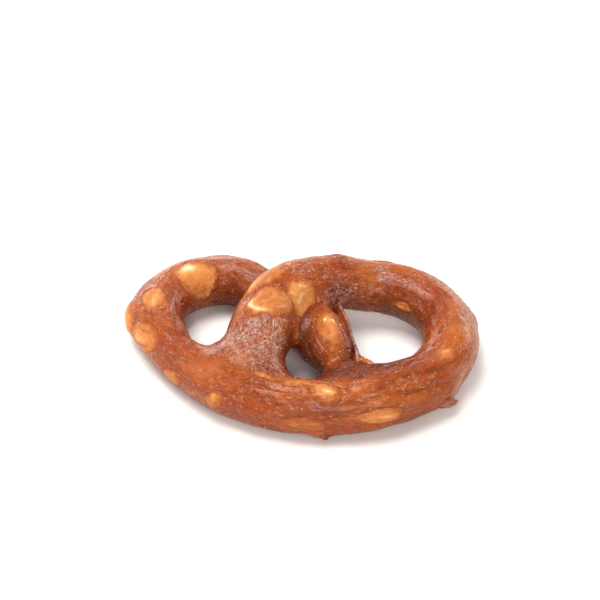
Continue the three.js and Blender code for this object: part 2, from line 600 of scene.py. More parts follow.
PATCHES = {
    Tint.BLOOM: (
        Patch(Ball((-5.5, -9.5, 15.0), 6.0), 0.9),
        Patch(Ball((-11.0, -11.5, 14.5), 5.5), 0.8),
        Patch(Ball((-3.0, -3.5, 14.5), 3.6), 0.4),
        Patch(Ball((-6.0, -14.5, 13.5), 5.0), 0.8),
        Patch(SkinPlace(129.5, 25, 14, 7, 0), 0.7),
        Patch(SkinPlace(35.5, 76, 14, 9, 0), 0.8),
        Patch(SkinPlace(40.0, 66, 8, 6, 0), 0.6),
        Patch(SkinPlace(27.0, 20, 7, 8, 0), 0.5),
        Patch(SkinPlace(192.0, 8, 12, 7, 0), 0.4),
        Patch(SkinPlace(48.5, 20, 9, 6, 10), 0.7),
        Patch(SkinPlace(105.0, -30, 11, 5, -8), 0.3),
        Patch(SkinPlace(94.0, -40, 18, 10, 12), 0.32),
        Patch(SkinPlace(129.0, -45, 19, 12, 0), 0.3),
        Patch(SkinPlace(141.5, 16, 9, 5, 0), 0.6),
        Patch(SkinPlace(70.0, -36, 22, 5, 0), 0.4),
        Patch(SkinPlace(175.0, -28, 26, 5, 0), 0.3),
        # Painted highlights: these three thin patches lay a pale rim sheen along the tops of the strands.
        Patch(SkinPlace(67.0, -46, 22, 5.4, -8), 0.75),
        Patch(SkinPlace(30.0, -40, 15, 3.4, 0), 0.7),
        Patch(SkinPlace(191.0, -45, 16, 3.4, 0), 0.6),
    ),
    Tint.GLOW: (
        Patch(SkinPlace(45.0, -8, 11, 6, 12), 0.75),
        Patch(SkinPlace(40.0, 48, 6, 5, 0), 0.4),
        Patch(SkinPlace(79.0, -36, 20, 13, 0), 0.7),
        Patch(SkinPlace(54.0, -14, 16, 7, 8), 0.6),
        Patch(SkinPlace(97.0, -52, 20, 11, 8), 0.4),
        Patch(SkinPlace(138.0, -30, 14, 10, 0), 0.5),
        Patch(SkinPlace(104.5, -112, 14, 4, 0), 0.55),
        Patch(SkinPlace(140.5, -32, 10, 7, 0), 0.4),
        Patch(SkinPlace(150.5, -84, 7, 5, 0), 0.4),
        Patch(SkinPlace(229.0, 8, 9, 4, 30), 0.8),
        Patch(SkinPlace(118.0, -70, 16, 5, 0), 0.3),
        Patch(SkinPlace(90.0, -102, 12, 5, 0), 0.4),
    ),
    # Painted shade: these patches darken furrows, the knob under the over arm, the strands' inner sides
    # and the slopes where stretches meet.
    Tint.PAINTED_SHADE: (
        Patch(SkinPlace(90.5, -30, 11, 1.6, 12), 0.7),
        Patch(SkinPlace(98.5, -22, 9, 1.4, -6), 0.5),
        Patch(SkinPlace(96.5, -52, 12, 1.2, 10), 0.4),
        Patch(SkinPlace(106.5, -44, 10, 1.2, -4), 0.5),
        Patch(SkinPlace(223.0, 56, 19, 10, 0), 1.0),
        Patch(SkinPlace(231.0, -52, 12, 7, 0), 0.9),
        Patch(SkinPlace(233.5, -8, 6, 7, 0), 0.9),
        Patch(SkinPlace(105.0, 40, 30, 9, 0), 1.0),
        Patch(Ball((12.5, -9.0, 8.6), 4.2), 1.0),
        Patch(SkinPlace(191.0, 88, 22, 9, 0), 0.6),
        Patch(SkinPlace(114.0, -56, 12, 5, 0), 0.5),
        Patch(SkinPlace(60.0, 92, 32, 10, 0), 0.85),
        Patch(SkinPlace(128.0, 10, 12, 4, 0), 0.6),
    ),
}


# ---------------------------------------------------------------- meshes


def new_object(name: str, points: np.ndarray, faces: Sequence, smooth: bool = True) -> bpy.types.Object:
    """Makes a mesh object of points given in millimetres.

    Args:
        name: The object's name.
        points: Rows of x, y, z, in millimetres.
        faces: Corner indices of each face.
        smooth: Whether its faces are shaded smoothly.

    Returns:
        The object, linked to the scene.
    """
    mesh = bpy.data.meshes.new(name)
    mesh.from_pydata((points * MM).tolist(), [], [list(map(int, face)) for face in faces])
    mesh.validate()
    if smooth:
        mesh.shade_smooth()
    made = bpy.data.objects.new(name, mesh)
    bpy.context.scene.collection.objects.link(made)
    return made


def mesh_points(obj: bpy.types.Object) -> np.ndarray:
    """Reads the mesh's points.

    Args:
        obj: The mesh object.

    Returns:
        Rows of x, y, z, in millimetres.
    """
    flat = np.empty(len(obj.data.vertices) * 3, np.float32)
    obj.data.vertices.foreach_get("co", flat)
    return flat.reshape(-1, 3).astype(float) / MM


def set_mesh_points(obj: bpy.types.Object, points: np.ndarray) -> None:
    """Moves the mesh's points to rows of x, y, z, in millimetres."""
    obj.data.vertices.foreach_set("co", (points * MM).astype(np.float32).ravel())
    obj.data.update()


def paint(obj: bpy.types.Object, name: str, values: np.ndarray) -> None:
    """Stores a number or a vector for each point of a mesh, for its material to read.

    Args:
        obj: The mesh object.
        name: The attribute's name.
        values: One number, or a row of three, for each point.
    """
    kind, field = ("FLOAT", "value") if values.ndim == 1 else ("FLOAT_VECTOR", "vector")
    layer = obj.data.attributes.new(name, kind, "POINT")
    layer.data.foreach_set(field, values.astype(np.float32).ravel())


def ring_faces(rings: int, sides: int, first: int = 0) -> list[tuple[int, int, int, int]]:
    """Quads between rings of points that follow each other, each ring closed on itself.

    Args:
        rings: Number of rings.
        sides: Points in a ring.
        first: Index of the first point.

    Returns:
        Corner indices of each quad.
    """
    return [
        (
            first + ring * sides + side,
            first + ring * sides + (side + 1) % sides,
            first + (ring + 1) * sides + (side + 1) % sides,
            first + (ring + 1) * sides + side,
        )
        for ring in range(rings - 1)
        for side in range(sides)
    ]


def finish_piece(piece: bpy.types.Object, finish: bpy.types.Material) -> bpy.types.Object:
    """Gives a piece its material and the body it rides on.

    Args:
        piece: The mesh object.
        finish: Its material.

    Returns:
        The same object.
    """
    piece.data.materials.append(finish)
    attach(piece, BODY)
    return piece


def report(piece: bpy.types.Object) -> None:
    """Says that a piece is made, and how fine it is."""
    LOG.info("%s: %d points, %d faces", piece.name, len(piece.data.vertices), len(piece.data.polygons))


# ---------------------------------------------------------------- shader building


class Wire:
    """A node's output that Python's own operators work on; each one adds a Math node."""

    def __init__(self, graph: "ShaderGraph", socket: bpy.types.NodeSocket) -> None:
        """Wraps a socket.

        Args:
            graph: The material that the socket is in.
            socket: The output socket.
        """
        self.graph = graph
        self.socket = socket

    def _math(self, operation: str, first: "Wire | float", second: "Wire | float") -> "Wire":
        """Adds one Math node, whose result is the new wire."""
        return self.graph.node("ShaderNodeMath", {"operation": operation}, {0: first, 1: second})

    def __add__(self, other: "Wire | float") -> "Wire":
        """Sum."""
        return self._math("ADD", self, other)

    def __radd__(self, other: float) -> "Wire":
        """Sum."""
        return self._math("ADD", other, self)

    def __sub__(self, other: "Wire | float") -> "Wire":
        """Difference."""
        return self._math("SUBTRACT", self, other)

    def __rsub__(self, other: float) -> "Wire":
        """Difference from a number."""
        return self._math("SUBTRACT", other, self)

    def __mul__(self, other: "Wire | float") -> "Wire":
        """Product."""
        return self._math("MULTIPLY", self, other)

    def __rmul__(self, other: float) -> "Wire":
        """Product."""
        return self._math("MULTIPLY", other, self)

    def __abs__(self) -> "Wire":
        """Size without its sign."""
        return self._math("ABSOLUTE", self, 0.0)


Value = Wire | float | tuple


class ShaderGraph:
    """The node tree of one material, with a Principled shader that its finish fills in."""

    SPOT_CORE = 0.3

    def __init__(self, name: str) -> None:
        """Makes an empty material.

        Args:
            name: The material's name.
        """
        self.material = bpy.data.materials.new(name)
        self.material.use_nodes = True
        self.nodes = self.material.node_tree.nodes
        self.links = self.material.node_tree.links
        self.nodes.clear()
        self.shader = self.nodes.new("ShaderNodeBsdfPrincipled")
        output = self.nodes.new("ShaderNodeOutputMaterial")
        self.links.new(self.shader.outputs[0], output.inputs["Surface"])

    def connect(self, socket: bpy.types.NodeSocket, value: Value) -> None:
        """Links a wire to a socket, or sets a plain value on it.

        Args:
            socket: The input socket.
            value: The wire or the value.
        """
        if isinstance(value, Wire):
            self.links.new(value.socket, socket)
        else:
            socket.default_value = value

    def node(
        self, kind: str, settings: dict | None = None, inputs: dict | None = None, output: int | str = 0
    ) -> Wire:
        """Adds a node.

        Args:
            kind: The node's type.
            settings: Its own settings, set first.
            inputs: Values or wires by socket name or number.
            output: The output to hand back.

        Returns:
            That output.
        """
        made = self.nodes.new(kind)
        for name, value in (settings or {}).items():
            setattr(made, name, value)
        for key, value in (inputs or {}).items():
            self.connect(made.inputs[key], value)
        return Wire(self, made.outputs[output])

    def set(self, **values: Value) -> None:
        """Sets the shader's sockets; a name's underscores stand for spaces."""
        for name, value in values.items():
            self.connect(self.shader.inputs[name.replace("_", " ")], value)

    def stored(self, name: str, output: str = "Fac") -> Wire:
        """Reads what paint() stored: a number from the output Fac, a row of three from Vector."""
        return self.node("ShaderNodeAttribute", {"attribute_name": name}, output=output)

    def stretched(self, vector: Wire, scale: tuple[float, float, float]) -> Wire:
        """A vector with each part multiplied."""
        return self.node("ShaderNodeVectorMath", {"operation": "MULTIPLY"}, {0: vector, 1: scale})

    def noise(self, vector: Wire, scale: float, detail: float, warp: float = 0.0) -> Wire:
        """Noise from 0 to 1, with a scale in lattice steps for each millimetre."""
        inputs = {"Vector": vector, "Scale": scale, "Detail": detail, "Distortion": warp}
        return self.node("ShaderNodeTexNoise", {"noise_dimensions": "3D"}, inputs)

    def ridges(self, vector: Wire, scale: float, sharpness: float, warp: float = 0.0) -> Wire:
        """Thin lines, from 0 to 1, where noise passes its middle value."""
        swing = abs(self.noise(vector, scale, detail=1.0, warp=warp) * 2.0 - 1.0)
        return self.rise(swing, sharpness, 0.0)

    def spots(self, vector: Wire, scale: float, size: float) -> Wire:
        """Round spots at scattered places.

        Args:
            vector: The place that they are worked out from.
            scale: Spots for each unit of it.
            size: Radius, as a share of the spacing.

        Returns:
            A number from 0 to 1, which is 1 in a spot.
        """
        inputs = {"Vector": vector, "Scale": scale}
        far = self.node("ShaderNodeTexVoronoi", {"feature": "F1"}, inputs, "Distance")
        return self.rise(far, size, size * self.SPOT_CORE)

    def across_seam(self, seam: Wire, along_rope: Wire, even: Wire) -> Wire:
        """A pattern that runs along the rope, turned into an even one where stretches of it meet."""
        return along_rope * (1 - seam) + even * seam

    def rise(self, value: Wire, low: float, high: float) -> Wire:
        """Eased 0 to 1 as the value goes from low to high."""
        inputs = {"Value": value, "From Min": low, "From Max": high}
        return self.node("ShaderNodeMapRange", {"interpolation_type": "SMOOTHSTEP"}, inputs)

    def mix(self, share: Value, first: Value, second: Value) -> Wire:
        """Mixes two colours; the share is the second one's."""
        settings = {"data_type": "RGBA", "clamp_factor": True}
        return self.node("ShaderNodeMix", settings, {0: share, 6: first, 7: second}, output=2)

    def relief(self, height: Wire) -> Wire:
        """Normal of a relief whose height is in millimetres."""
        return self.node("ShaderNodeBump", None, {"Distance": MM, "Height": height}, output="Normal")


# ---------------------------------------------------------------- finishes


@dataclass(frozen=True)
class Look:
    """Colour, roughness and relief, in millimetres, that a finish works out over a surface."""

    colour: Wire
    roughness: Wire
    height: Wire


@dataclass(frozen=True)
class Patterns:
    """Patterns over the skin, each from 0 to 1; crinkles_and_glints are its pale lines: dry film, and
    painted glints on the wrinkles.
    """

    cloud: Wire
    mottle: Wire
    strokes: Wire
    grain: Wire
    patchy: Wire
    blush: Wire
    crinkles_and_glints: Wire
    specks: Wire


@dataclass(frozen=True)
class MeatFinish:
    """Satin reddish-brown dried meat with streaks, a dry bloom and glow over what lies under the skin.
    Its pale lines carry painted glints and rim highlights too, and its dark tint and creases carry painted
    shade.

    A share says how strongly a colour shows, and a relief how high a pattern stands, in millimetres.
    """

    ruddy: tuple = srgb(142, 60, 16)
    # Dark tone for the mottles, and the colour of the painted shade.
    dark_tone_and_shade: tuple = srgb(90, 36, 16)
    amber: tuple = srgb(174, 94, 32)
    dry_and_glint: tuple = srgb(202, 138, 100)
    frost_and_sheen: tuple = srgb(220, 182, 164)
    rosy: tuple = srgb(150, 80, 52)
    dusk: tuple = srgb(120, 68, 52)
    speck: tuple = srgb(224, 168, 116)
    shade: tuple = srgb(66, 25, 11)
    stretch: tuple = (0.38, 1.0, 1.0)
    rosy_share: float = 0.15
    mottle_share: float = 0.5
    grain_share: float = 0.15
    painted_shade_share: float = 0.88
    glow_share: float = 0.75
    dusk_share: float = 0.55
    dry_and_glint_share: float = 0.64
    shade_share: float = 0.7
    speck_share: float = 0.7
    least_roughness: float = 0.1
    mottle_relief: float = 0.18
    grain_relief: float = 0.02
    dry_relief: float = 0.09
    speck_relief: float = 0.1

    def _patterns(self, graph: ShaderGraph, bloom_and_sheen: Wire) -> Patterns:
        """Makes the patterns, stretched along the rope except where two stretches of it meet.

        Args:
            graph: The material that they are for.
            bloom_and_sheen: How strongly the bloom shows, with the painted rim highlights laid into it.

        Returns:
            The patterns.
        """
        seam = graph.stored("seam")
        object_place = graph.node("ShaderNodeTexCoord", output="Object")
        place = graph.stretched(object_place, (1 / MM, 1 / MM, 1 / MM))
        lengthwise = graph.stretched(graph.stored("skin", "Vector"), self.stretch)
        cloud_along = graph.noise(lengthwise, scale=0.2, detail=3.0, warp=0.8)
        cloud_even = graph.noise(place, scale=0.2, detail=3.0, warp=0.8)
        mottle_along = graph.noise(lengthwise, scale=0.75, detail=4.0, warp=1.0)
        mottle_even = graph.noise(place, scale=0.7, detail=4.0, warp=1.0)
        strokes_along = graph.ridges(lengthwise, scale=1.05, sharpness=0.22, warp=2.0)
        strokes_even = graph.ridges(place, scale=1.0, sharpness=0.22, warp=2.0)
        strokes = graph.across_seam(seam, strokes_along, strokes_even)
        whorls = graph.ridges(place, scale=0.62, sharpness=0.21, warp=2.4)
        broken = graph.rise(graph.noise(place, scale=1.1, detail=2.0), low=0.44, high=0.58)
        patchy = graph.rise(graph.noise(place, scale=0.3, detail=3.0), low=0.4, high=0.62)
        lines = whorls * bloom_and_sheen * 0.75 + strokes * (bloom_and_sheen * 0.5 + patchy * 0.35 + 0.12)
        few_specks = graph.spots(place, scale=0.5, size=0.14)
        patchy_specks = graph.spots(place, scale=0.95, size=0.13) * patchy
        return Patterns(
            cloud=graph.across_seam(seam, cloud_along, cloud_even),
            mottle=graph.across_seam(seam, mottle_along, mottle_even),
            strokes=strokes,
            grain=graph.noise(place, scale=3.2, detail=3.0),
            patchy=patchy,
            blush=graph.rise(graph.noise(place, scale=0.42, detail=3.0, warp=0.6), low=0.46, high=0.66),
            crinkles_and_glints=lines * (broken * 0.55 + 0.45),
            specks=few_specks + patchy_specks,
        )

    def look(self, graph: ShaderGraph) -> Look:
        """Works out the skin's look.

        Args:
            graph: The material that it is for.

        Returns:
            The look.
        """
        bloom_and_sheen, glow, dark_tone_and_shade = (graph.stored(tint.value) for tint in Tint)
        seen = self._patterns(graph, bloom_and_sheen)
        # The pale lines run from the dry colour to a whitish frost, which also paints the rim highlights
        # and glints.
        pale = graph.mix(graph.rise(bloom_and_sheen, low=0.1, high=0.8), self.dry_and_glint, self.frost_and_sheen)
        layers = (
            (seen.blush * self.rosy_share, self.rosy),
            (graph.rise(seen.mottle, low=0.5, high=0.28) * self.mottle_share, self.dark_tone_and_shade),
            (graph.rise(seen.grain, low=0.5, high=0.28) * self.grain_share, self.dark_tone_and_shade),
            # Painted shade from the dark tint's patches.
            (dark_tone_and_shade * self.painted_shade_share, self.dark_tone_and_shade),
            (glow * self.glow_share, self.amber),
            (graph.rise(bloom_and_sheen, low=0.2, high=1.0) * self.dusk_share, self.dusk),
            # Pale lines: dry film, and painted glints on the wrinkles.
            (graph.rise(seen.crinkles_and_glints, low=0.05, high=0.8) * self.dry_and_glint_share, pale),
            # Painted shade in the creases where stretches of the rope meet.
            (graph.rise(graph.stored("crease"), low=0.3, high=1.0) * self.shade_share, self.shade),
            (seen.specks * self.speck_share, self.speck),
        )
        colour = graph.mix(graph.rise(seen.cloud, low=0.42, high=0.72), self.ruddy, self.amber)
        for share, layer in layers:
            colour = graph.mix(share, colour, layer)
        roughness = graph.rise(seen.crinkles_and_glints, low=0.1, high=1.0) * 0.2 + seen.grain * 0.2
        roughness = roughness + graph.rise(seen.mottle, low=0.4, high=0.6) * 0.08 + self.least_roughness
        height = seen.mottle * self.mottle_relief + seen.grain * self.grain_relief
        height = height + seen.crinkles_and_glints * self.dry_relief + seen.specks * self.speck_relief
        height = height + seen.strokes * (seen.patchy * 0.1 + 0.05)
        return Look(colour, roughness, height)

    def make(self) -> bpy.types.Material:
        """Builds the material.

        Returns:
            The material.
        """
        graph = ShaderGraph("dried_meat")
        look = self.look(graph)
        graph.set(Base_Color=look.colour, Roughness=look.roughness, Normal=graph.relief(look.height))
        graph.set(Subsurface_Weight=0.12, Subsurface_Radius=(1.0, 0.35, 0.15), Subsurface_Scale=1.5 * MM)
        graph.set(Specular_IOR_Level=0.3, Coat_Weight=0.22, Coat_Roughness=0.2)
        return graph.material


@dataclass(frozen=True)
class FlakeFinish:
    """Pale golden flake, smooth and satin, that turns into the meat's skin where that laps over it."""

    meat: MeatFinish
    golden: tuple = srgb(180, 110, 50)
    pale: tuple = srgb(228, 164, 100)
    toasted: tuple = srgb(164, 90, 36)
    glare: tuple = srgb(244, 214, 178)
    stretch: tuple = (0.4, 1.3, 1.0)
    toasted_share: float = 0.8
    grain_share: float = 0.18
    speck_share: float = 0.5
    ruddy_share: float = 0.5
    glare_share: float = 0.75
    ragged_edge: float = 0.6
    grain_relief: float = 0.07
    cloud_relief: float = 0.1

    def make(self) -> bpy.types.Material:
        """Builds the material.

        Returns:
            The material.
        """
        graph = ShaderGraph("pale_flake")
        skin = self.meat.look(graph)
        lit = graph.stored("lit")
        spot = graph.stored("spot", "Vector")
        ragged = graph.noise(spot, scale=0.8, detail=3.0, warp=0.6) - 0.5
        cover = graph.rise(graph.stored("cover") + ragged * self.ragged_edge, low=0.02, high=0.98)
        cloud = graph.noise(spot, scale=0.4, detail=3.0, warp=0.5)
        grain = graph.noise(graph.stretched(spot, self.stretch), scale=1.5, detail=4.0, warp=0.4)
        stains = graph.rise(graph.noise(spot, scale=2.4, detail=2.0), low=0.36, high=0.26)
        layers = (
            (graph.rise(grain, low=0.45, high=0.7) * self.grain_share, self.pale),
            (graph.spots(spot, scale=0.8, size=0.1) * self.speck_share, self.pale),
            (stains * self.ruddy_share, self.meat.ruddy),
            (lit, self.pale),
            # Painted highlight: the palest spots go to a near-white glare.
            (graph.rise(lit, low=0.55, high=0.95) * self.glare_share, self.glare),
            (cover, skin.colour),
        )
        colour = graph.mix(
            graph.rise(cloud, low=0.35, high=0.68) * self.toasted_share, self.golden, self.toasted
        )
        for share, layer in layers:
            colour = graph.mix(share, colour, layer)
        own_height = grain * self.grain_relief + cloud * self.cloud_relief
        height = own_height * (1 - cover) + skin.height * (cover * 0.6 + 0.4)
        graph.set(Base_Color=colour, Roughness=grain * 0.2 + 0.32, Normal=graph.relief(height))
        graph.set(Subsurface_Weight=0.25, Subsurface_Radius=(1.0, 0.5, 0.25), Subsurface_Scale=1.2 * MM)
        graph.set(Specular_IOR_Level=0.36, Sheen_Weight=0.03, Sheen_Roughness=0.35)
        return graph.material


@dataclass(frozen=True)
class PlainFinish:
    """A small piece's finish: two colours mixed by fine noise."""

    name: str
    first: tuple
    second: tuple
    roughness: float
    scale: float

    def make(self) -> bpy.types.Material:
        """Builds the material.

        Returns:
            The material.
        """
        graph = ShaderGraph(self.name)
        place = graph.node("ShaderNodeTexCoord", output="Object")
        grain = graph.noise(place, self.scale / MM, detail=3.0, warp=0.5)
        graph.set(Base_Color=graph.mix(graph.rise(grain, low=0.35, high=0.65), self.first, self.second))
        graph.set(Roughness=grain * 0.2 + (self.roughness - 0.1), Normal=graph.relief(grain * 0.05))
        graph.set(Subsurface_Weight=0.2, Subsurface_Radius=(1.0, 0.4, 0.2), Subsurface_Scale=1.0 * MM)
        return graph.material


# Its paler colour paints the highlight on the web's free edge.
RIDGE_HIGHLIGHT_FINISH = PlainFinish("ridge_highlight", srgb(192, 118, 68), srgb(150, 78, 38), 0.42, 0.9)
CRUMB_FINISH = PlainFinish("crumb", srgb(226, 176, 132), srgb(240, 205, 170), 0.5, 3.0)
FLOOR_FINISH = PlainFinish("floor", srgb(238, 237, 235), srgb(234, 233, 231), 0.8, 0.05)


# ---------------------------------------------------------------- the flakes


class FlakeStyle(Enum):
    """How a flake's top is formed."""

    DISH = "dish"
    ROUND = "round"
    CORED = "cored"
    LIPPED = "lipped"
    STREAKED = "streaked"
    SUNK = "sunk"
    KNOT = "knot"


@dataclass(frozen=True)
class FlakeTop:
    """Points of a flake's top, and what each style adds to it.

    The points are given by the share of the way from the middle to the outline, by the direction in
    radians, and by both as uneven x and y. Each style gives heights in millimetres and paleness, which
    also holds its painted highlights.
    """

    out: np.ndarray
    turn: np.ndarray
    x: np.ndarray
    y: np.ndarray
    seed: int

    def dish(self) -> tuple[np.ndarray, np.ndarray]:
        """A shallow hollow with a raised rim on one side and a painted highlight.

        Returns:
            The heights and the paleness.
        """
        side = 0.5 + 0.5 * np.cos(self.turn - math.radians(60))
        rim = band(self.out, 0.8, 0.13) * side
        glare = bump(self.x, self.y, (-0.32, -0.46), (0.42, 0.26))
        shallow = bump(self.x, self.y, (-0.05, -0.1), (0.5, 0.35))
        height = 0.3 * rim - 0.35 * band(self.out, 0.0, 0.55) + 0.08 * glare
        return height, 0.5 * rim + 0.75 * glare + 0.2 * shallow

    def cored(self) -> tuple[np.ndarray, np.ndarray]:
        """A raised core in a ring-shaped trench, with a pale brim.

        Returns:
            The heights and the paleness.
        """
        core = bump(self.x, self.y, (0.1, -0.1), (0.5, 0.26))
        trench = band(np.hypot(self.x - 0.05, self.y * 1.5), 0.62, 0.12)
        brim = band(self.out, 0.84, 0.1) * smooth_step(-0.6, 0.8, np.cos(self.turn + 0.6))
        return 0.5 * core - 0.4 * trench, 0.6 * core + 0.5 * brim

    def lipped(self) -> tuple[np.ndarray, np.ndarray]:
        """A raised lip along one side with a painted highlight on it, a groove behind it, and a faint
        swirl.

        Returns:
            The heights and the paleness.
        """
        side = smooth_step(0.5, 0.95, np.cos(self.turn - math.radians(150)))
        lip = band(self.out, 0.72, 0.13) * side
        groove = band(self.out, 0.55, 0.12) * side
        swirl = band(np.hypot(self.x - 0.15, self.y - 0.1), 0.35, 0.12)
        return 0.4 * lip - 0.15 * groove + 0.08 * swirl, 0.9 * lip + 0.15 * swirl

    def streaked(self) -> tuple[np.ndarray, np.ndarray]:
        """Short broken streaks on one side.

        Returns:
            The heights and the paleness.
        """
        streaks = np.sin(21 * (self.x + 0.35 * self.y) + 3.5 * np.sin(3.4 * self.y + 3 * self.x))
        streaks *= 0.35 + 0.65 * np.sin(15 * self.y - 11 * self.x + 2 * np.sin(5 * self.x))
        one_side = smooth_step(0.5, -0.3, self.y) * smooth_step(0.9, 0.5, self.out)
        return 0.06 * streaks * (1 - self.out), (0.35 * np.abs(streaks) + 0.2) * one_side

    def knot(self) -> tuple[np.ndarray, np.ndarray]:
        """Small folds, a pale ridge, a bead and a pit.

        Returns:
            The heights and the paleness.
        """
        folds = np.sin(5 * self.x + 2.4 * np.sin(3.2 * self.y + 1))
        folds *= np.cos(4.4 * self.y + 1.6 * np.sin(4 * self.x))
        ridge = bump(self.x + 0.45 * self.y, self.y, (-0.25, -0.25), (0.12, 0.4))
        bead = bump(self.x, self.y, (-0.15, 0.3), (0.1225, 0.1225))
        pit = bump(self.x, self.y, (0.1, -0.05), (0.2236, 0.2236))
        height = 0.14 * folds * (1 - self.out) + 0.4 * ridge + 0.45 * bead - 0.35 * pit
        pale_folds = np.clip(folds, 0, 1) * smooth_step(0.9, 0.3, self.out)
        return height, 0.3 * pale_folds + 0.75 * ridge + 0.8 * bead

    def round(self) -> tuple[np.ndarray, np.ndarray]:
        """A soft painted highlight.

        Returns:
            The heights and the paleness.
        """
        gleam = bump(self.x, self.y, (-0.3, 0.1), (0.4, 0.22))
        return 0.1 * gleam, 0.5 * gleam

    def sunk(self) -> tuple[np.ndarray, np.ndarray]:
        """Slow waves.

        Returns:
            The heights and no paleness.
        """
        return 0.08 * np.sin(3 * self.x + self.seed) * (1 - self.out), np.zeros_like(self.out)

    def styled(self, style: FlakeStyle) -> tuple[np.ndarray, np.ndarray]:
        """Picks a style.

        Args:
            style: The flake's style.

        Returns:
            The heights and the paleness.
        """
        shapes = {
            FlakeStyle.DISH: self.dish,
            FlakeStyle.ROUND: self.round,
            FlakeStyle.CORED: self.cored,
            FlakeStyle.LIPPED: self.lipped,
            FlakeStyle.STREAKED: self.streaked,
            FlakeStyle.SUNK: self.sunk,
            FlakeStyle.KNOT: self.knot,
        }
        return shapes[style]()


@dataclass(frozen=True)
class Flake:
    """One flake pressed into the skin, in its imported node's place; film is how much skin covers it."""

    name: str
    place: SkinPlace
    style: FlakeStyle
    proud: float
    film: float
    seed: int
    taper: float = 0.0
    paleness: float = 0.0

    RINGS = 22
    SIDES = 72
    RING_CROWDING = 0.85
    DEPTH = 1.0
    BOTTOM_POWER = 3
    BOTTOM_EDGE = 0.999
    LAPPED = 1.14
    LAP_START = 0.93
    LAP_SINK = 0.3
    FILM_HOLD = 0.7
    RAGGED = 0.07
    OUTLINE_WAVES = range(2, 6)
    TAPER_STRENGTH = 1.5
    DEEPEST_FOLD = 1.8
    PITTED = 0.05
    PIT_SIZE = 0.8
    DOME_EDGE = 1.04
    DOME_TOP = 0.45
    UNEVEN = 0.1
    SOFT_EDGE = 0.4
    FILM_SOFTNESS = 0.55
    FRAY = 0.3
    FRAY_SIZE = 0.9
    SPOT_SPACING = 3.1

    def outline(self, turn: np.ndarray) -> np.ndarray:
        """Works out the uneven outline.

        Args:
            turn: Directions from the middle, in radians.

        Returns:
            Its reach in each direction, as a share of the even oval's.
        """
        source = np.random.default_rng(self.seed)
        reach = np.ones_like(turn)
        for waves in self.OUTLINE_WAVES:
            size = self.RAGGED / (waves - 1) * source.normal()
            reach += size * np.cos(waves * turn + source.uniform(0, 2 * math.pi))
        return reach + self.taper * np.cos(turn) * np.sin(turn) ** 2 * self.TAPER_STRENGTH

    def relief(self, out: np.ndarray, turn: np.ndarray) -> tuple[np.ndarray, np.ndarray]:
        """Height of the top over the skin in millimetres, and how pale and raised it is.

        Args:
            out: Share of the way from the middle to the outline.
            turn: Direction from the middle, in radians.

        Returns:
            The heights, and the paleness from 0 to 1.
        """
        x, y = out * np.cos(turn), out * np.sin(turn)
        bent_x = x + self.UNEVEN * np.sin(5 * y + self.seed)
        bent_y = y + self.UNEVEN * np.sin(4 * x + 2 * self.seed)
        height, lit = FlakeTop(out, turn, bent_x, bent_y, self.seed).styled(self.style)
        dome = self.proud * smooth_step(self.DOME_EDGE, self.DOME_TOP, out)
        return dome + height, np.clip(lit + self.paleness, 0, 1)

    def build(self, rope: "Rope", finish: bpy.types.Material) -> bpy.types.Object:
        """Makes the flake's mesh on the rope's skin.

        Args:
            rope: The rope it is pressed into.
            finish: Its material.

        Returns:
            The piece.
        """
        shares = self.LAPPED * np.linspace(0, 1, self.RINGS + 1)[1:] ** self.RING_CROWDING
        turns = np.linspace(0, 2 * math.pi, self.SIDES, endpoint=False)
        out, turn = (grid.ravel() for grid in np.meshgrid(shares, turns, indexing="ij"))
        out, turn = np.append(out, 0.0), np.append(turn, 0.0)
        reach = self.outline(turn)
        lengthwise, across = out * reach * np.cos(turn), out * reach * np.sin(turn)
        distance, angle = self.place.points(rope.route, lengthwise, across)
        skin = rope.skin_reading(distance, angle)
        top, lit = self.relief(out, turn)
        sink = self.LAP_SINK * (1 - self.FILM_HOLD * self.film)
        top -= sink * smooth_step(self.LAP_START, self.LAPPED, out)
        hollow = (out / self.LAPPED) ** self.BOTTOM_POWER * self.BOTTOM_EDGE
        bottom = top - self.DEPTH * np.sqrt(1 - hollow)
        pits = self.PITTED * rope.wrinkles.at(skin.points / self.PIT_SIZE, 2) * smooth_step(1.0, 0.8, out)
        lift = rope.unevenness(skin) - np.maximum(skin.gap, -self.DEEPEST_FOLD) + pits
        points = np.vstack([rope.route.skin(distance, angle, lift + side) for side in (top, bottom)])
        piece = new_object(self.name, points, self._faces())
        for name, values in (("cover", self._cover(rope, skin, out, lit)), ("lit", lit)):
            paint(piece, name, np.tile(values, 2))
        half = self.place.length / 2, self.place.width / 2
        layer = np.full_like(out, self.SPOT_SPACING * self.seed)
        spot = np.column_stack([lengthwise * half[0], across * half[1], layer])
        paint(piece, "spot", np.tile(spot, (2, 1)))
        rope.paint_skin(piece, skin, copies=2)
        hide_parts("flake_" + self.name)
        return finish_piece(piece, finish)

    def _cover(self, rope: "Rope", skin: SkinReading, out: np.ndarray, lit: np.ndarray) -> np.ndarray:
        """How much the meat's skin covers each point of the top.

        Args:
            rope: The rope that the flake is pressed into.
            skin: Where the points lie on it.
            out: Share of the way from the middle to the outline.
            lit: Paleness of the points, which the film leaves free.

        Returns:
            Shares from 0 to 1.
        """
        softness = self.SOFT_EDGE + self.FILM_SOFTNESS * self.film
        fray = self.FRAY * softness * rope.wrinkles.at(skin.rope_space / self.FRAY_SIZE, 2)
        film = self.film * (1 - lit)
        return film + (1 - film) * smooth_step(1.0 - softness, 1.0, out + fray)

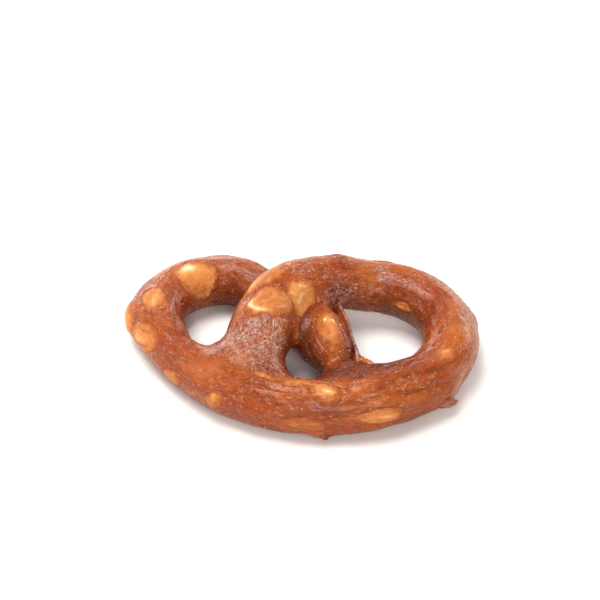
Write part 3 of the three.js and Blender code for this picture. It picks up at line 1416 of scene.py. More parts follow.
    def _faces(self) -> list[tuple[int, ...]]:
        """Makes the top, the bottom and the wall between them, all facing out.

        Returns:
            Corner indices of each face.
        """
        count = self.RINGS * self.SIDES
        middle = count
        under = count + 1
        last = (self.RINGS - 1) * self.SIDES
        top = ring_faces(self.RINGS, self.SIDES)
        bottom = [tuple(reversed([corner + under for corner in face])) for face in top]
        caps, wall = [], []
        for side in range(self.SIDES):
            following = (side + 1) % self.SIDES
            caps.append((middle, following, side))
            caps.append((middle + under, side + under, following + under))
            wall.append((last + side, last + following, last + following + under, last + side + under))
        return [*top, *bottom, *caps, *wall]


FLAKES = (
    Flake("left_disc", SkinPlace(179.8, 41, 14.8, 11.4, 8), FlakeStyle.DISH, 0.5, 0.1, 1, 0.0, 0.1),
    Flake("left_round", SkinPlace(165.2, -10, 7.6, 6.0, 0), FlakeStyle.ROUND, 0.25, 0.0, 2, 0.0, 0.15),
    Flake("left_side", SkinPlace(157.4, -69, 8.8, 7.6, 0), FlakeStyle.CORED, 0.45, 0.0, 3, 0.0, 0.1),
    Flake("left_edge", SkinPlace(165.5, -90, 10.0, 5.6, -8), FlakeStyle.ROUND, 0.6, 0.05, 4, 0.0, 0.35),
    Flake("left_front", SkinPlace(146.3, -94, 7.0, 4.2, -20), FlakeStyle.SUNK, 0.25, 0.2, 5, 0.0, 0.1),
    Flake("crossing_oval", SkinPlace(15.0, 20, 14.0, 8.8, 68), FlakeStyle.LIPPED, 0.5, 0.0, 6, 0.1),
    Flake("crossing_long", SkinPlace(20.0, -26, 11.6, 5.6, 24), FlakeStyle.ROUND, 0.6, 0.1, 7, 0.5),
    Flake(
        "crossing_streaked",
        SkinPlace(22.9, 74, 12.4, 11.4, -38),
        FlakeStyle.STREAKED,
        0.35,
        0.08,
        8,
        0.0,
        0.3,
    ),
    Flake("front_sliver", SkinPlace(119.0, -2, 9.8, 2.5, -5), FlakeStyle.SUNK, 0.14, 0.5, 9, 0.0, 0.25),
    Flake("front_bright", SkinPlace(113.8, -19, 8.6, 5.0, 30), FlakeStyle.ROUND, 0.14, 0.4, 10, -0.3, 0.3),
    Flake("front_right", SkinPlace(103.2, -84, 9.8, 4.0, 4), FlakeStyle.ROUND, 0.3, 0.1, 11, 0.0, 0.2),
    Flake("front_low", SkinPlace(116.8, -93, 10.8, 3.8, 6), FlakeStyle.SUNK, 0.3, 0.35, 12),
    Flake("front_left", SkinPlace(135.0, -84, 5.2, 3.8, -75), FlakeStyle.ROUND, 0.25, 0.15, 13),
    Flake("foot_sliver", SkinPlace(126.4, -6, 6.6, 1.3, -2), FlakeStyle.SUNK, 0.14, 0.5, 14, 0.0, 0.2),
    Flake("right_front", SkinPlace(85.0, -18, 4.8, 4.6, 0), FlakeStyle.ROUND, 0.14, 0.4, 15, 0.0, 0.15),
    Flake("right_inner", SkinPlace(58.4, 78, 7.0, 2.3, -4), FlakeStyle.ROUND, 0.25, 0.2, 16),
    Flake("under_arm", SkinPlace(225.0, -4, 9.8, 5.8, 26), FlakeStyle.KNOT, 0.12, 0.3, 17, 0.3),
    Flake("back_right_high", SkinPlace(48.5, -66, 7.2, 4.6, 12), FlakeStyle.DISH, 0.45, 0.1, 18),
    Flake("back_right_low", SkinPlace(57.5, -98, 6.0, 5.0, -25), FlakeStyle.CORED, 0.4, 0.2, 19),
    Flake("right_edge", SkinPlace(68.5, -90, 7.6, 4.8, 16), FlakeStyle.LIPPED, 0.4, 0.3, 20),
    Flake("back_left_wide", SkinPlace(186.5, -76, 8.8, 6.0, -10), FlakeStyle.DISH, 0.45, 0.1, 21),
    Flake("back_left_small", SkinPlace(177.0, -100, 5.4, 4.2, 30), FlakeStyle.ROUND, 0.4, 0.3, 22),
    Flake("back_crossing", SkinPlace(31.5, -84, 6.2, 4.4, 35), FlakeStyle.STREAKED, 0.4, 0.3, 23),
    Flake("inner_front", SkinPlace(111.5, 92, 6.4, 3.8, -12), FlakeStyle.ROUND, 0.4, 0.3, 24),
    Flake("inner_left", SkinPlace(137.5, 88, 5.6, 3.4, 18), FlakeStyle.CORED, 0.4, 0.3, 25),
)


# ---------------------------------------------------------------- the rope


@dataclass
class Rope:
    """The rope of dried meat, one uneven skin with its crossed arms run together.

    Sizes are in millimetres, and a shift moves a noise so that no two patterns are alike.
    """

    route: RopeRoute
    voxel: float = 0.37
    ring_sides: int = 28
    ring_step: float = 1.2
    lump: float = 0.3
    wrinkle: float = 0.17
    crinkle: float = 0.1
    floor_softness: float = 0.5
    bed_depth: float = 0.55
    film_depth: float = 0.3
    lip_height: float = 0.05
    seed: int = 11

    HALF_LAP = 4.0
    SETTLE_ROUNDS = 7
    LOOSE_ROUNDS = 4
    LAST_ROUNDS = 2
    SETTLE_PULL = 0.6
    LUMP_SIZE = 9.0
    WRINKLE_SIZE = (6.5, 1.5, 1.5)
    WRINKLE_SHIFT = 40.0
    WRINKLE_MEAN = 0.7
    CRINKLE_SIZE = (1.3, 0.9, 0.9)
    PLAIN_CRINKLE = 0.35
    CREASE_CALM = 0.7
    BED_REACH = 2.2
    BED_RAGGED = 0.09
    BED_RAGGED_SIZE = 1.3
    BED_SHIFT = 9.0
    LIP_MIDDLE = 1.12
    LIP_REACH = 0.12
    FLOOR_LEVEL = 0.12
    FLOOR_WAVE = 0.1
    FLOOR_WAVE_SIZE = 3.0
    FLOOR_SHIFT = 5.0
    TINT_WANDER = 0.35
    TINT_WANDER_SIZE = 2.4
    TINT_SHIFT = 70.0
    TINT_FALL = 2.5
    FLAKE_GLOW = 0.45
    FLAKE_GLOW_START = 0.95
    FLAKE_GLOW_END = 1.6

    def __post_init__(self) -> None:
        """Sets up the noises that its unevenness comes from."""
        self.lumps = Noise(self.seed)
        self.wrinkles = Noise(self.seed + 1)

    def build(self, finish: bpy.types.Material) -> bpy.types.Object:
        """Makes the rope.

        Args:
            finish: Its material.

        Returns:
            The piece.
        """
        piece = self._joined_tubes()
        self._settle(piece)
        points = mesh_points(piece)
        reading = self.route.read(points)
        points += reading.outward * self.unevenness(reading)[:, None]
        points += reading.outward * self._beds(reading)[:, None]
        points[:, 2] = self._rest_on_floor(points)
        set_mesh_points(piece, points)
        self.paint_skin(piece, reading)
        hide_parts("pretzel_rope")
        return finish_piece(piece, finish)

    def _joined_tubes(self) -> bpy.types.Object:
        """Joins two overlapping tubes along the route into one closed skin of even small faces.

        Returns:
            The rope's object.
        """
        middle = self.route.length / 2
        halves = [(0.0, middle + self.HALF_LAP), (middle - self.HALF_LAP, self.route.length)]
        points, faces = [], []
        for start, end in halves:
            distance = np.linspace(start, end, int((end - start) / self.ring_step))
            angle = np.linspace(0, -2 * math.pi, self.ring_sides, endpoint=False)
            place, turn = (grid.ravel() for grid in np.meshgrid(distance, angle, indexing="ij"))
            first = sum(map(len, points))
            points.append(self.route.skin(place, turn, np.zeros_like(place)))
            faces += ring_faces(len(distance), self.ring_sides, first)
            faces.append(tuple(range(first + self.ring_sides - 1, first - 1, -1)))
            last = first + (len(distance) - 1) * self.ring_sides
            faces.append(tuple(range(last, last + self.ring_sides)))
        piece = new_object("rope", np.vstack(points), faces)
        remesh = piece.modifiers.new("skin", "REMESH")
        remesh.mode = "VOXEL"
        remesh.voxel_size = self.voxel * MM
        remesh.use_smooth_shade = True
        evaluated = piece.evaluated_get(bpy.context.evaluated_depsgraph_get())
        fine = bpy.data.meshes.new_from_object(evaluated)
        piece.modifiers.clear()
        piece.data = fine
        return piece

    def _onto_skin(self, points: np.ndarray) -> tuple[np.ndarray, np.ndarray]:
        """Draws points onto the rope's smooth skin.

        Args:
            points: Rows of x, y, z in millimetres.

        Returns:
            The drawn points, and the skin's outward directions there.
        """
        reading = self.route.read(points)
        return points - reading.outward * reading.gap[:, None], reading.outward

    def _settle(self, piece: bpy.types.Object) -> None:
        """Evens out the faces and draws the points onto the rope's smooth skin.

        Args:
            piece: The rope's object.
        """
        mesh = piece.data
        ends = np.empty(len(mesh.edges) * 2, np.int32)
        mesh.edges.foreach_get("vertices", ends)
        ends = ends.reshape(-1, 2)
        both = np.vstack([ends, ends[:, ::-1]])
        count = np.bincount(both[:, 0], minlength=len(mesh.vertices))[:, None]
        points = mesh_points(piece)
        for step in range(self.SETTLE_ROUNDS):
            points, outward = self._onto_skin(points)
            mean = np.stack([np.bincount(both[:, 0], points[both[:, 1], k]) for k in range(3)], 1) / count
            pull = mean - points
            if step >= self.LOOSE_ROUNDS:
                pull -= outward * np.einsum("ij,ij->i", pull, outward)[:, None]
            points += self.SETTLE_PULL * pull
        for _ in range(self.LAST_ROUNDS):
            points, outward = self._onto_skin(points)
        set_mesh_points(piece, points)

    def unevenness(self, reading: SkinReading) -> np.ndarray:
        """Height of the lumps and wrinkles over the smooth skin.

        Args:
            reading: Where the points lie on the rope.

        Returns:
            Heights in millimetres.
        """
        lumps = self.lumps.at(reading.points / self.LUMP_SIZE, 2)
        wrinkle_space = reading.rope_space / self.WRINKLE_SIZE + self.WRINKLE_SHIFT
        folds = 1 - np.abs(self.wrinkles.at(wrinkle_space, 2)) - self.WRINKLE_MEAN
        fine = self.wrinkles.at(reading.points / self.CRINKLE_SIZE, 2)
        bloom_and_sheen = self._tinted(Tint.BLOOM, reading)
        height = self.lump * lumps + self.wrinkle * folds * (1 - reading.fold)
        height += self.crinkle * fine * (self.PLAIN_CRINKLE + bloom_and_sheen)
        height *= 1 - self.CREASE_CALM * reading.crease
        swells = sum(swell.over(reading) for swell in SWELLS)
        return height + swells * smooth_step(1.0, 0.3, reading.fold)

    def unevenness_at(self, distance: float, degrees: float) -> float:
        """Height of the skin's unevenness at one place, in millimetres."""
        reading = self.skin_reading(np.array([distance]), np.radians([degrees]))
        return float(self.unevenness(reading)[0])

    def skin_reading(self, distance: np.ndarray, angle: np.ndarray) -> SkinReading:
        """Reading of places on one stretch's smooth skin.

        Args:
            distance: Distance along the rope, in millimetres.
            angle: Angle round the rope, in radians.

        Returns:
            The reading.
        """
        points = self.route.skin(distance, angle, np.zeros_like(distance))
        radius = self.route.radii(distance)
        space = np.column_stack([distance, radius * np.cos(angle), radius * np.sin(angle)])
        real = self.route.read(points)
        return SkinReading(
            points, distance, angle, radius, real.gap, real.outward, real.fold, real.crease, space
        )

    def _beds(self, reading: SkinReading) -> np.ndarray:
        """Works out the hollows under the flakes, and the lips of skin round them.

        Args:
            reading: Where the points lie on the rope.

        Returns:
            Heights in millimetres.
        """
        total = np.zeros_like(reading.distance)
        ragged_space = reading.rope_space / self.BED_RAGGED_SIZE + self.BED_SHIFT
        ragged = self.wrinkles.at(ragged_space) * self.BED_RAGGED
        for flake in FLAKES:
            lengthwise, across = flake.place.spread(reading)
            near = np.hypot(lengthwise, across) < self.BED_REACH
            turn = np.arctan2(across[near], lengthwise[near])
            out = np.hypot(lengthwise[near], across[near]) / flake.outline(turn) + ragged[near]
            hollow = smooth_step(1.03, 0.8, out) * (self.bed_depth - self.film_depth * flake.film)
            lip = band(out, self.LIP_MIDDLE, self.LIP_REACH) * self.lip_height
            total[near] += lip * (1 - flake.film) - hollow
        return total

    def _rest_on_floor(self, points: np.ndarray) -> np.ndarray:
        """Presses everything under the floor flat onto it, with a rounded edge.

        Args:
            points: Rows of x, y, z in millimetres.

        Returns:
            Their new heights in millimetres.
        """
        height = points[:, 2]
        wave = self.lumps.at(points / self.FLOOR_WAVE_SIZE + self.FLOOR_SHIFT)
        level = self.FLOOR_LEVEL + self.FLOOR_WAVE * wave
        over = height - level
        return level + 0.5 * (over + np.sqrt(over**2 + self.floor_softness**2))

    def _tinted(self, tint: Tint, reading: SkinReading) -> np.ndarray:
        """Works out how strongly a tint shows.

        Args:
            tint: The tint.
            reading: Where the points lie on the rope.

        Returns:
            Strengths from 0 to 1.
        """
        wander_space = reading.rope_space / self.TINT_WANDER_SIZE + self.TINT_SHIFT
        wander = self.lumps.at(wander_space, 2) * self.TINT_WANDER
        total = np.zeros_like(reading.distance)
        for patch in PATCHES[tint]:
            out = np.hypot(*patch.place.spread(reading)) + wander
            total = np.maximum(total, patch.strength * np.exp(-(np.maximum(out, 0) ** self.TINT_FALL)))
        return total

    def paint_skin(
        self,
        piece: bpy.types.Object,
        reading: SkinReading,
        copies: int = 1,
        tints: dict[Tint, float] | None = None,
    ) -> None:
        """Stores what the meat's finish reads: the place on the rope, the tints and the creases.

        Args:
            piece: The mesh object.
            reading: Where its points lie on the rope.
            copies: How many times over the mesh holds those points.
            tints: Least strength of tints that the whole piece shows.
        """
        paint(piece, "skin", np.tile(reading.rope_space, (copies, 1)))
        paint(piece, "crease", np.tile(reading.crease, copies))
        paint(piece, "seam", np.tile(smooth_step(0.3, 0.75, reading.fold), copies))
        for tint in Tint:
            shown = self._tinted(tint, reading)
            if tint is Tint.GLOW:
                shown = np.maximum(shown, self._flake_glow(reading))
            shown = np.maximum(shown, (tints or {}).get(tint, 0.0))
            paint(piece, tint.value, np.tile(shown, copies))

    def _flake_glow(self, reading: SkinReading) -> np.ndarray:
        """Works out the warm light that a flake sends through the thin skin round it.

        Args:
            reading: Where the points lie on the rope.

        Returns:
            Strengths from 0 to 1.
        """
        total = np.zeros_like(reading.distance)
        for flake in FLAKES:
            out = np.hypot(*flake.place.spread(reading))
            glow = smooth_step(self.FLAKE_GLOW_END, self.FLAKE_GLOW_START, out) * self.FLAKE_GLOW
            total = np.maximum(total, glow)
        return total


# ---------------------------------------------------------------- strips, films and crumbs


@dataclass(frozen=True)
class Strip:
    """A strip of skin along stations of x, y, z and width, measured as the plan's are."""

    name: str
    stations: tuple[tuple[float, float, float, float], ...]
    flatness: float
    twist: float
    tints: dict[Tint, float]
    seed: int

    SIDES = 14
    STEPS = 14
    RAGGED = 0.16
    RAGGED_SIZE = 0.8
    BLUNTNESS = 8
    END_SIZE = 0.1

    def shape(self, rope: "Rope") -> tuple[np.ndarray, list[tuple[int, ...]]]:
        """Points and faces of the closed strip.

        Args:
            rope: The rope that it lies on.

        Returns:
            Rows of x, y, z in millimetres, and the faces.
        """
        line = spline(np.array(self.stations, float), self.STEPS)
        centre, width = line[:, :3] + rope.route.shift, line[:, 3]
        along = unit(np.gradient(centre, axis=0))
        across = unit(np.cross(along, rope.route.read(centre).outward))
        outward = np.cross(across, along)
        share = np.linspace(0, 1, len(line))[:, None]
        taper = np.sqrt(np.clip(1 - (2 * share - 1) ** self.BLUNTNESS, self.END_SIZE**2, 1))
        turn = np.linspace(0, 2 * math.pi, self.SIDES, endpoint=False)[None]
        spots = np.repeat(centre, self.SIDES, 0) / self.RAGGED_SIZE
        spots = spots + np.tile(turn, len(line)).T + self.seed
        wobble = rope.wrinkles.at(spots, 2).reshape(len(line), -1)
        reach = width[:, None] * taper / 2 * (1 + self.RAGGED * wobble)
        wide, thick = np.cos(turn), self.flatness * np.sin(turn)
        cos, sin = np.cos(self.twist * share), np.sin(self.twist * share)
        sideways, upwards = wide * cos - thick * sin, wide * sin + thick * cos
        offset = sideways[..., None] * across[:, None] + upwards[..., None] * outward[:, None]
        points = (centre[:, None] + reach[..., None] * offset).reshape(-1, 3)
        faces = [tuple(reversed(face)) for face in ring_faces(len(line), self.SIDES)]
        faces.append(tuple(range(self.SIDES)))
        faces.append(tuple(range(len(points) - 1, len(points) - self.SIDES - 1, -1)))
        return points, faces

    def build(self, rope: "Rope", finish: bpy.types.Material) -> bpy.types.Object:
        """Makes the strip.

        Args:
            rope: The rope that it lies on.
            finish: Its material.

        Returns:
            The piece.
        """
        points, faces = self.shape(rope)
        piece = new_object(self.name, points, faces)
        rope.paint_skin(piece, rope.route.read(points), tints=self.tints)
        return finish_piece(piece, finish)


STRIPS = (
    Strip(
        "hanging_strip",
        (
            (5.6, 13.0, 9.6, 1.4),
            (7.4, 9.6, 9.8, 1.8),
            (9.3, 6.0, 9.8, 1.5),
            (10.6, 2.9, 9.6, 1.3),
            (11.7, -0.3, 9.4, 1.3),
            (12.9, -3.5, 9.4, 1.6),
            (14.0, -6.6, 9.7, 2.0),
            (15.0, -9.0, 9.8, 2.5),
            (15.8, -11.0, 9.2, 1.6),
        ),
        0.45,
        0.0,
        {Tint.BLOOM: 0.9},
        1,
    ),
    Strip(
        "under_spur",
        (
            (8.2, -24.8, 3.4, 2.6),
            (9.4, -25.3, 2.4, 2.4),
            (9.9, -25.3, 1.6, 1.5),
            (10.1, -25.1, 1.0, 0.5),
        ),
        0.7,
        0.0,
        # Painted shade darkens the spur under the front strand.
        {Tint.PAINTED_SHADE: 0.3},
        4,
    ),
    Strip(
        "skin_tag",
        (
            (31.4, -12.0, 4.6, 3.0),
            (33.2, -11.8, 3.9, 3.8),
            (34.8, -11.2, 3.3, 3.2),
            (35.9, -10.5, 3.0, 2.0),
            (36.6, -9.9, 3.0, 0.8),
        ),
        0.6,
        0.3,
        {Tint.BLOOM: 0.6},
        5,
    ),
)


# A paler ridge along the web's free edge, coloured to paint the highlight there.
WEB_RIDGE_HIGHLIGHT = Strip(
    "web_ridge_highlight",
    (
        (12.8, -6.0, 8.4, 1.0),
        (14.4, -7.6, 9.4, 2.0),
        (15.9, -9.0, 10.3, 2.8),
        (17.4, -10.4, 10.8, 2.8),
        (18.8, -11.8, 10.8, 2.2),
        (20.2, -13.2, 10.2, 1.0),
    ),
    0.5,
    0.3,
    {},
    2,
)


@dataclass(frozen=True)
class Film:
    """A thick film of skin between two edges with stations of x, y and z, measured as the plan's are."""

    name: str
    first_edge: tuple[tuple[float, float, float], ...]
    second_edge: tuple[tuple[float, float, float], ...]
    thickness: float
    tints: dict[Tint, float]

    LONG = 26
    ACROSS = 22
    RIPPLE = 0.22
    RIPPLE_SIZE = 1.1
    BUCKLE = 0.35
    BUCKLE_SIZE = 3.0
    RIM_SHARE = 0.25

    def build(self, rope: "Rope", finish: bpy.types.Material) -> bpy.types.Object:
        """Makes the film.

        Args:
            rope: The rope that it is stuck to.
            finish: Its material.

        Returns:
            The piece.
        """
        edges = []
        for stations in (self.first_edge, self.second_edge):
            rows = np.column_stack([np.array(stations, float) + rope.route.shift, np.ones(len(stations))])
            line = spline(rows, self.LONG)[:, :3]
            edges.append(line[np.linspace(0, len(line) - 1, self.LONG).astype(int)])
        across = np.linspace(0, 1, self.ACROSS)[None, :, None]
        sheet = edges[0][:, None] * (1 - across) + edges[1][:, None] * across
        normal = unit(np.cross(np.gradient(sheet, axis=0), np.gradient(sheet, axis=1)))
        if normal[..., 2].mean() < 0:
            normal = -normal
        flat = sheet.reshape(-1, 3)
        ripple = self.RIPPLE * rope.wrinkles.at(flat / self.RIPPLE_SIZE, 2)
        ripple += self.BUCKLE * rope.lumps.at(flat / self.BUCKLE_SIZE)
        flat = flat + normal.reshape(-1, 3) * ripple[:, None]
        share = np.full((self.LONG, self.ACROSS), self.RIM_SHARE)
        share[1:-1, 1:-1] = 1.0
        half = (self.thickness / 2 * share).ravel()[:, None] * normal.reshape(-1, 3)
        points = np.vstack([flat + half, flat - half])
        piece = new_object(self.name, points, self._faces())
        rope.paint_skin(piece, rope.route.read(points), tints=self.tints)
        return finish_piece(piece, finish)

    def _faces(self) -> list[tuple[int, ...]]:
        """Makes both sides and the rim between them.

        Returns:
            Corner indices of each face.
        """
        under = self.LONG * self.ACROSS
        faces = []
        for row in range(self.LONG - 1):
            for column in range(self.ACROSS - 1):
                corner = row * self.ACROSS + column
                face = (corner, corner + 1, corner + self.ACROSS + 1, corner + self.ACROSS)
                faces.append(face)
                faces.append(tuple(reversed([index + under for index in face])))
        ring = [(0, column) for column in range(self.ACROSS)]
        ring += [(row, self.ACROSS - 1) for row in range(1, self.LONG)]
        ring += [(self.LONG - 1, column) for column in range(self.ACROSS - 2, -1, -1)]
        ring += [(row, 0) for row in range(self.LONG - 2, 0, -1)]
        ring = [row * self.ACROSS + column for row, column in ring]
        for here, there in zip(ring, ring[1:] + ring[:1]):
            faces.append((there, here, here + under, there + under))
        return faces


# Painted shade: both films get the dark tint, as they sit in the shade under the knob.
FILMS = (
    Film(
        "knob_web",
        (
            (6.2, 12.0, 9.8),
            (8.4, 7.8, 9.6),
            (9.8, 4.8, 9.5),
            (10.9, 1.8, 9.3),
            (12.0, -1.5, 9.1),
            (13.2, -4.9, 9.1),
        ),
        (
            (3.8, 11.4, 8.0),
            (6.2, 7.6, 7.6),
            (7.0, 4.6, 7.6),
            (7.8, 1.8, 7.6),
            (8.6, -1.5, 7.2),
            (9.4, -5.0, 6.8),
        ),
        1.1,
        {Tint.PAINTED_SHADE: 0.55},
    ),
    Film(
        "foot_web",
        ((12.6, -4.8, 8.8), (15.6, -7.8, 10.2), (18.6, -10.9, 10.5), (20.6, -13.4, 9.6)),
        ((11.0, -9.0, 7.6), (11.6, -12.0, 8.0), (13.6, -15.0, 9.2), (18.0, -16.6, 9.8)),
        1.1,
        {Tint.PAINTED_SHADE: 0.8},
    ),
)


@dataclass
class Fibres:
    """Fine whiskers of meat that stand off the skin, as one piece."""

    count: int = 46
    length: float = 2.2
    width: float = 0.13
    seed: int = 31

    END_GAP = 3.0
    SEEN_TURN = 130
    RUN = 0.6
    SWEEP = 9
    RISE = (0.1, 0.55)
    SHARES = (0.0, 0.4, 0.8, 1.0)
    WIDTHS = (1.0, 1.0, 0.8, 0.5)
    ROOT_DEPTH = 0.12
    LOW_RISE = 0.06
    FLATNESS = 0.8

    def build(self, rope: "Rope", finish: bpy.types.Material) -> bpy.types.Object:
        """Makes the whiskers.

        Args:
            rope: The rope that they stand on.
            finish: Their material.

        Returns:
            The piece.
        """
        source = np.random.default_rng(self.seed)
        points, faces = [], []
        share = np.array(self.SHARES)
        widths = self.width * np.array(self.WIDTHS)
        for index in range(self.count):
            place = source.uniform(self.END_GAP, rope.route.length - self.END_GAP)
            turn = source.uniform(-self.SEEN_TURN, self.SEEN_TURN)
            run = source.uniform(-self.RUN, self.RUN) * self.length
            sweep = source.uniform(-self.SWEEP, self.SWEEP)
            rise = source.uniform(*self.RISE)
            turns = np.radians(turn + sweep * share**1.5)
            lifts = np.array([-self.ROOT_DEPTH, self.LOW_RISE, rise / 2, rise])
            heights = rope.unevenness_at(place, turn) + lifts
            line = rope.route.skin(place + run * share, turns, heights) - rope.route.shift
            stations = tuple(map(tuple, np.column_stack([line, widths])))
            hair = Strip("fibre", stations, self.FLATNESS, 0.0, {}, index)
            more, shape = hair.shape(rope)
            first = sum(map(len, points))
            points.append(more)
            faces += [tuple(corner + first for corner in face) for face in shape]
        joined = np.vstack(points)
        piece = new_object("fibres", joined, faces)
        rope.paint_skin(piece, rope.route.read(joined), tints={Tint.BLOOM: 0.9})
        return finish_piece(piece, finish)


@dataclass
class Crumbs:
    """Tiny pale grains that stick to the skin, as one piece."""

    count: int = 260
    sizes: tuple[float, float] = (0.12, 0.42)
    rings: int = 5
    sides: int = 8
    seed: int = 47

    END_GAP = 0.5
    SEEN_TURN = 135
    SIZE_SPREAD = (1.2, 4.0)
    STAND = 0.12
    DEEPEST_FOLD = 0.8
    SQUASH = (0.6, 1.2)
    LUMPS = 0.16

    def build(self, rope: "Rope", finish: bpy.types.Material) -> bpy.types.Object:
        """Makes the grains.

        Args:
            rope: The rope that they stick to.
            finish: Their material.

        Returns:
            The piece.
        """
        source = np.random.default_rng(self.seed)
        place = source.uniform(self.END_GAP, rope.route.length - self.END_GAP, self.count)
        turn = np.radians(source.uniform(-self.SEEN_TURN, self.SEEN_TURN, self.count))
        small, large = self.sizes
        size = small + (large - small) * source.beta(*self.SIZE_SPREAD, self.count)
        lift = rope.unevenness(rope.skin_reading(place, turn))
        centre = rope.route.skin(place, turn, lift + size * self.STAND)
        keep = rope.route.read(centre).gap > -self.DEEPEST_FOLD
        grain, faces = self._grain()
        points, all_faces = [], []
        for middle, scale in zip(centre[keep], size[keep]):
            squash = source.uniform(*self.SQUASH, 3)
            lumps = 1 + self.LUMPS * source.normal(size=(len(grain), 1))
            first = len(points) * len(grain)
            points.append(middle + grain * squash * lumps * scale / 2)
            all_faces += [tuple(corner + first for corner in face) for face in faces]
        piece = new_object("pale_crumbs", np.vstack(points), all_faces)
        return finish_piece(piece, finish)

    def _grain(self) -> tuple[np.ndarray, list[tuple[int, ...]]]:
        """Makes one round grain of size 2, before it is made uneven.

        Returns:
            Its points, and the corner indices of each face.
        """
        tilts = np.linspace(0, math.pi, self.rings + 2)[1:-1]
        turns = np.linspace(0, 2 * math.pi, self.sides, endpoint=False)
        tilt, turn = (grid.ravel() for grid in np.meshgrid(tilts, turns, indexing="ij"))
        ring = np.column_stack([np.sin(tilt) * np.cos(turn), np.sin(tilt) * np.sin(turn), np.cos(tilt)])
        points = np.vstack([ring, (0, 0, 1), (0, 0, -1)])
        faces = [tuple(reversed(face)) for face in ring_faces(self.rings, self.sides)]
        last = (self.rings - 1) * self.sides
        for side in range(self.sides):
            following = (side + 1) % self.sides
            faces.append((len(ring), side, following))
            faces.append((len(ring) + 1, last + following, last + side))
        return points, faces


# ---------------------------------------------------------------- the studio


@dataclass(frozen=True)
class Lamp:
    """A soft rectangular light aimed at the object: place and size in metres, power in watts."""

    name: str
    place: tuple[float, float, float]
    size: tuple[float, float]
    power: float
    colour: tuple[float, float, float]

    AIM = (0.0, 0.0, 0.006)

    def build(self) -> None:
        """Makes the light."""
        data = bpy.data.lights.new(self.name, "AREA")
        data.shape = "RECTANGLE"
        data.size, data.size_y = self.size
        data.energy = self.power
        data.color = self.colour
        lamp = bpy.data.objects.new(self.name, data)
        lamp.location = self.place
        lamp.rotation_mode = "QUATERNION"
        lamp.rotation_quaternion = (Vector(self.AIM) - Vector(self.place)).to_track_quat("-Z", "Y")
        bpy.context.scene.collection.objects.link(lamp)


LAMPS = (
    Lamp("top_light", (-0.14, 0.04, 0.5), (0.36, 0.36), 2.9, (1.0, 0.99, 0.98)),
    Lamp("back_light", (0.3, 0.42, 0.14), (0.5, 0.16), 1.1, (1.0, 0.98, 0.98)),
    Lamp("left_light", (-0.5, -0.12, 0.24), (0.3, 0.3), 0.5, (1.0, 0.98, 0.97)),
    Lamp("front_light", (0.14, -0.5, 0.34), (0.4, 0.3), 2.3, (1.0, 0.98, 0.96)),
    Lamp("rim_light", (-0.26, 0.46, 0.1), (0.4, 0.12), 0.8, (1.0, 0.98, 0.98)),
)


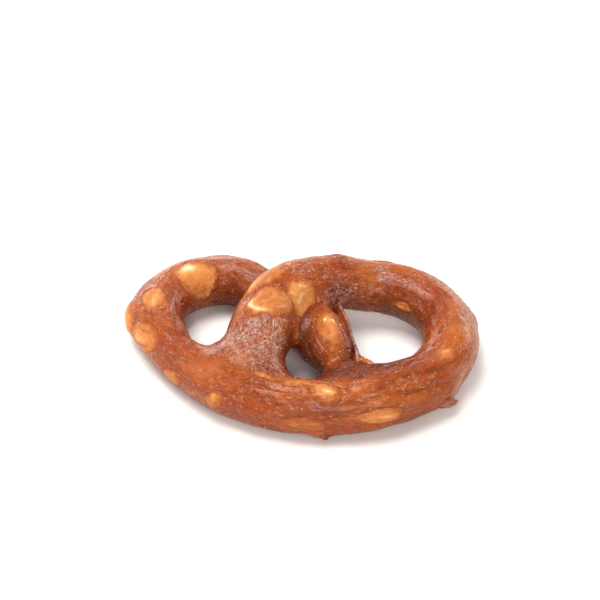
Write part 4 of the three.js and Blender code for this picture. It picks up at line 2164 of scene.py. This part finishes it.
@dataclass
class Studio:
    """Pale floor, soft lights and the camera at the photograph's angle."""

    azimuth: float = 10.0
    elevation: float = 38.0
    distance: float = 0.4472
    lens: float = 120.0
    sensor: float = 36.0
    clip: tuple[float, float] = (0.01, 10.0)
    picture_size: int = 600
    rope_centre: tuple[float, float, float] = (0.6, 1.2, 6.0)
    rope_centre_pixel: tuple[int, int] = (304, 340)
    floor_half: float = 1500.0
    sky_colour: tuple[float, float, float, float] = (1.0, 0.985, 0.97, 1.0)
    sky_strength: float = 0.2

    def build(self, route_shift: np.ndarray) -> None:
        """Makes the floor, the lights, the surroundings and the camera.

        Args:
            route_shift: How far the rope's plan is moved to its place in the frame, in millimetres.
        """
        self._floor()
        self._surroundings()
        for lamp in LAMPS:
            lamp.build()
        self._camera(route_shift)
        view = bpy.context.scene.view_settings
        view.view_transform = "Standard"
        view.look = "Medium High Contrast"

    def _floor(self) -> None:
        """A wide plain pale floor."""
        corners = self.floor_half * np.array([(-1, -1, 0), (1, -1, 0), (1, 1, 0), (-1, 1, 0)])
        floor = new_object("floor", corners, [(0, 1, 2, 3)], smooth=False)
        floor.data.materials.append(FLOOR_FINISH.make())

    def _surroundings(self) -> None:
        """Even pale light from all round."""
        world = bpy.data.worlds.new("studio")
        world.use_nodes = True
        ground = world.node_tree.nodes["Background"]
        ground.inputs["Color"].default_value = self.sky_colour
        ground.inputs["Strength"].default_value = self.sky_strength
        bpy.context.scene.world = world

    def _camera(self, route_shift: np.ndarray) -> None:
        """The camera, aimed so that the rope's centre falls on its pixel of the photograph.

        Args:
            route_shift: How far the rope's plan is moved to its place in the frame, in millimetres.
        """
        around, up = math.radians(self.azimuth), math.radians(self.elevation)
        back = np.array([math.sin(around) * math.cos(up), -math.cos(around) * math.cos(up), math.sin(up)])
        right = np.array([math.cos(around), math.sin(around), 0.0])
        rise = np.cross(back, right)
        focal = self.lens / self.sensor * self.picture_size
        off_x = (self.rope_centre_pixel[0] - self.picture_size / 2) / focal * self.distance
        off_y = (self.picture_size / 2 - self.rope_centre_pixel[1]) / focal * self.distance
        aim = (np.array(self.rope_centre) + route_shift) * MM - right * off_x - rise * off_y
        data = bpy.data.cameras.new("camera")
        data.lens, data.sensor_width = self.lens, self.sensor
        data.clip_start, data.clip_end = self.clip
        camera = bpy.data.objects.new("camera", data)
        camera.location = aim + back * self.distance
        camera.rotation_mode = "QUATERNION"
        camera.rotation_quaternion = Vector(-back).to_track_quat("-Z", "Y")
        bpy.context.scene.collection.objects.link(camera)
        bpy.context.scene.camera = camera


# ---------------------------------------------------------------- the whole


def main() -> None:
    """Builds every piece in order, and reports each one."""
    logging.basicConfig(level=logging.INFO, format="%(message)s")
    route = RopeRoute(PretzelPlan())
    Studio().build(route.shift)
    rope = Rope(route)
    meat = MeatFinish()
    meat_skin = meat.make()
    report(rope.build(meat_skin))
    flake_finish = FlakeFinish(meat).make()
    for flake in FLAKES:
        report(flake.build(rope, flake_finish))
    for piece in (*STRIPS, *FILMS, Fibres()):
        report(piece.build(rope, meat_skin))
    report(WEB_RIDGE_HIGHLIGHT.build(rope, RIDGE_HIGHLIGHT_FINISH.make()))
    report(Crumbs().build(rope, CRUMB_FINISH.make()))


if __name__ == "__main__":
    main()
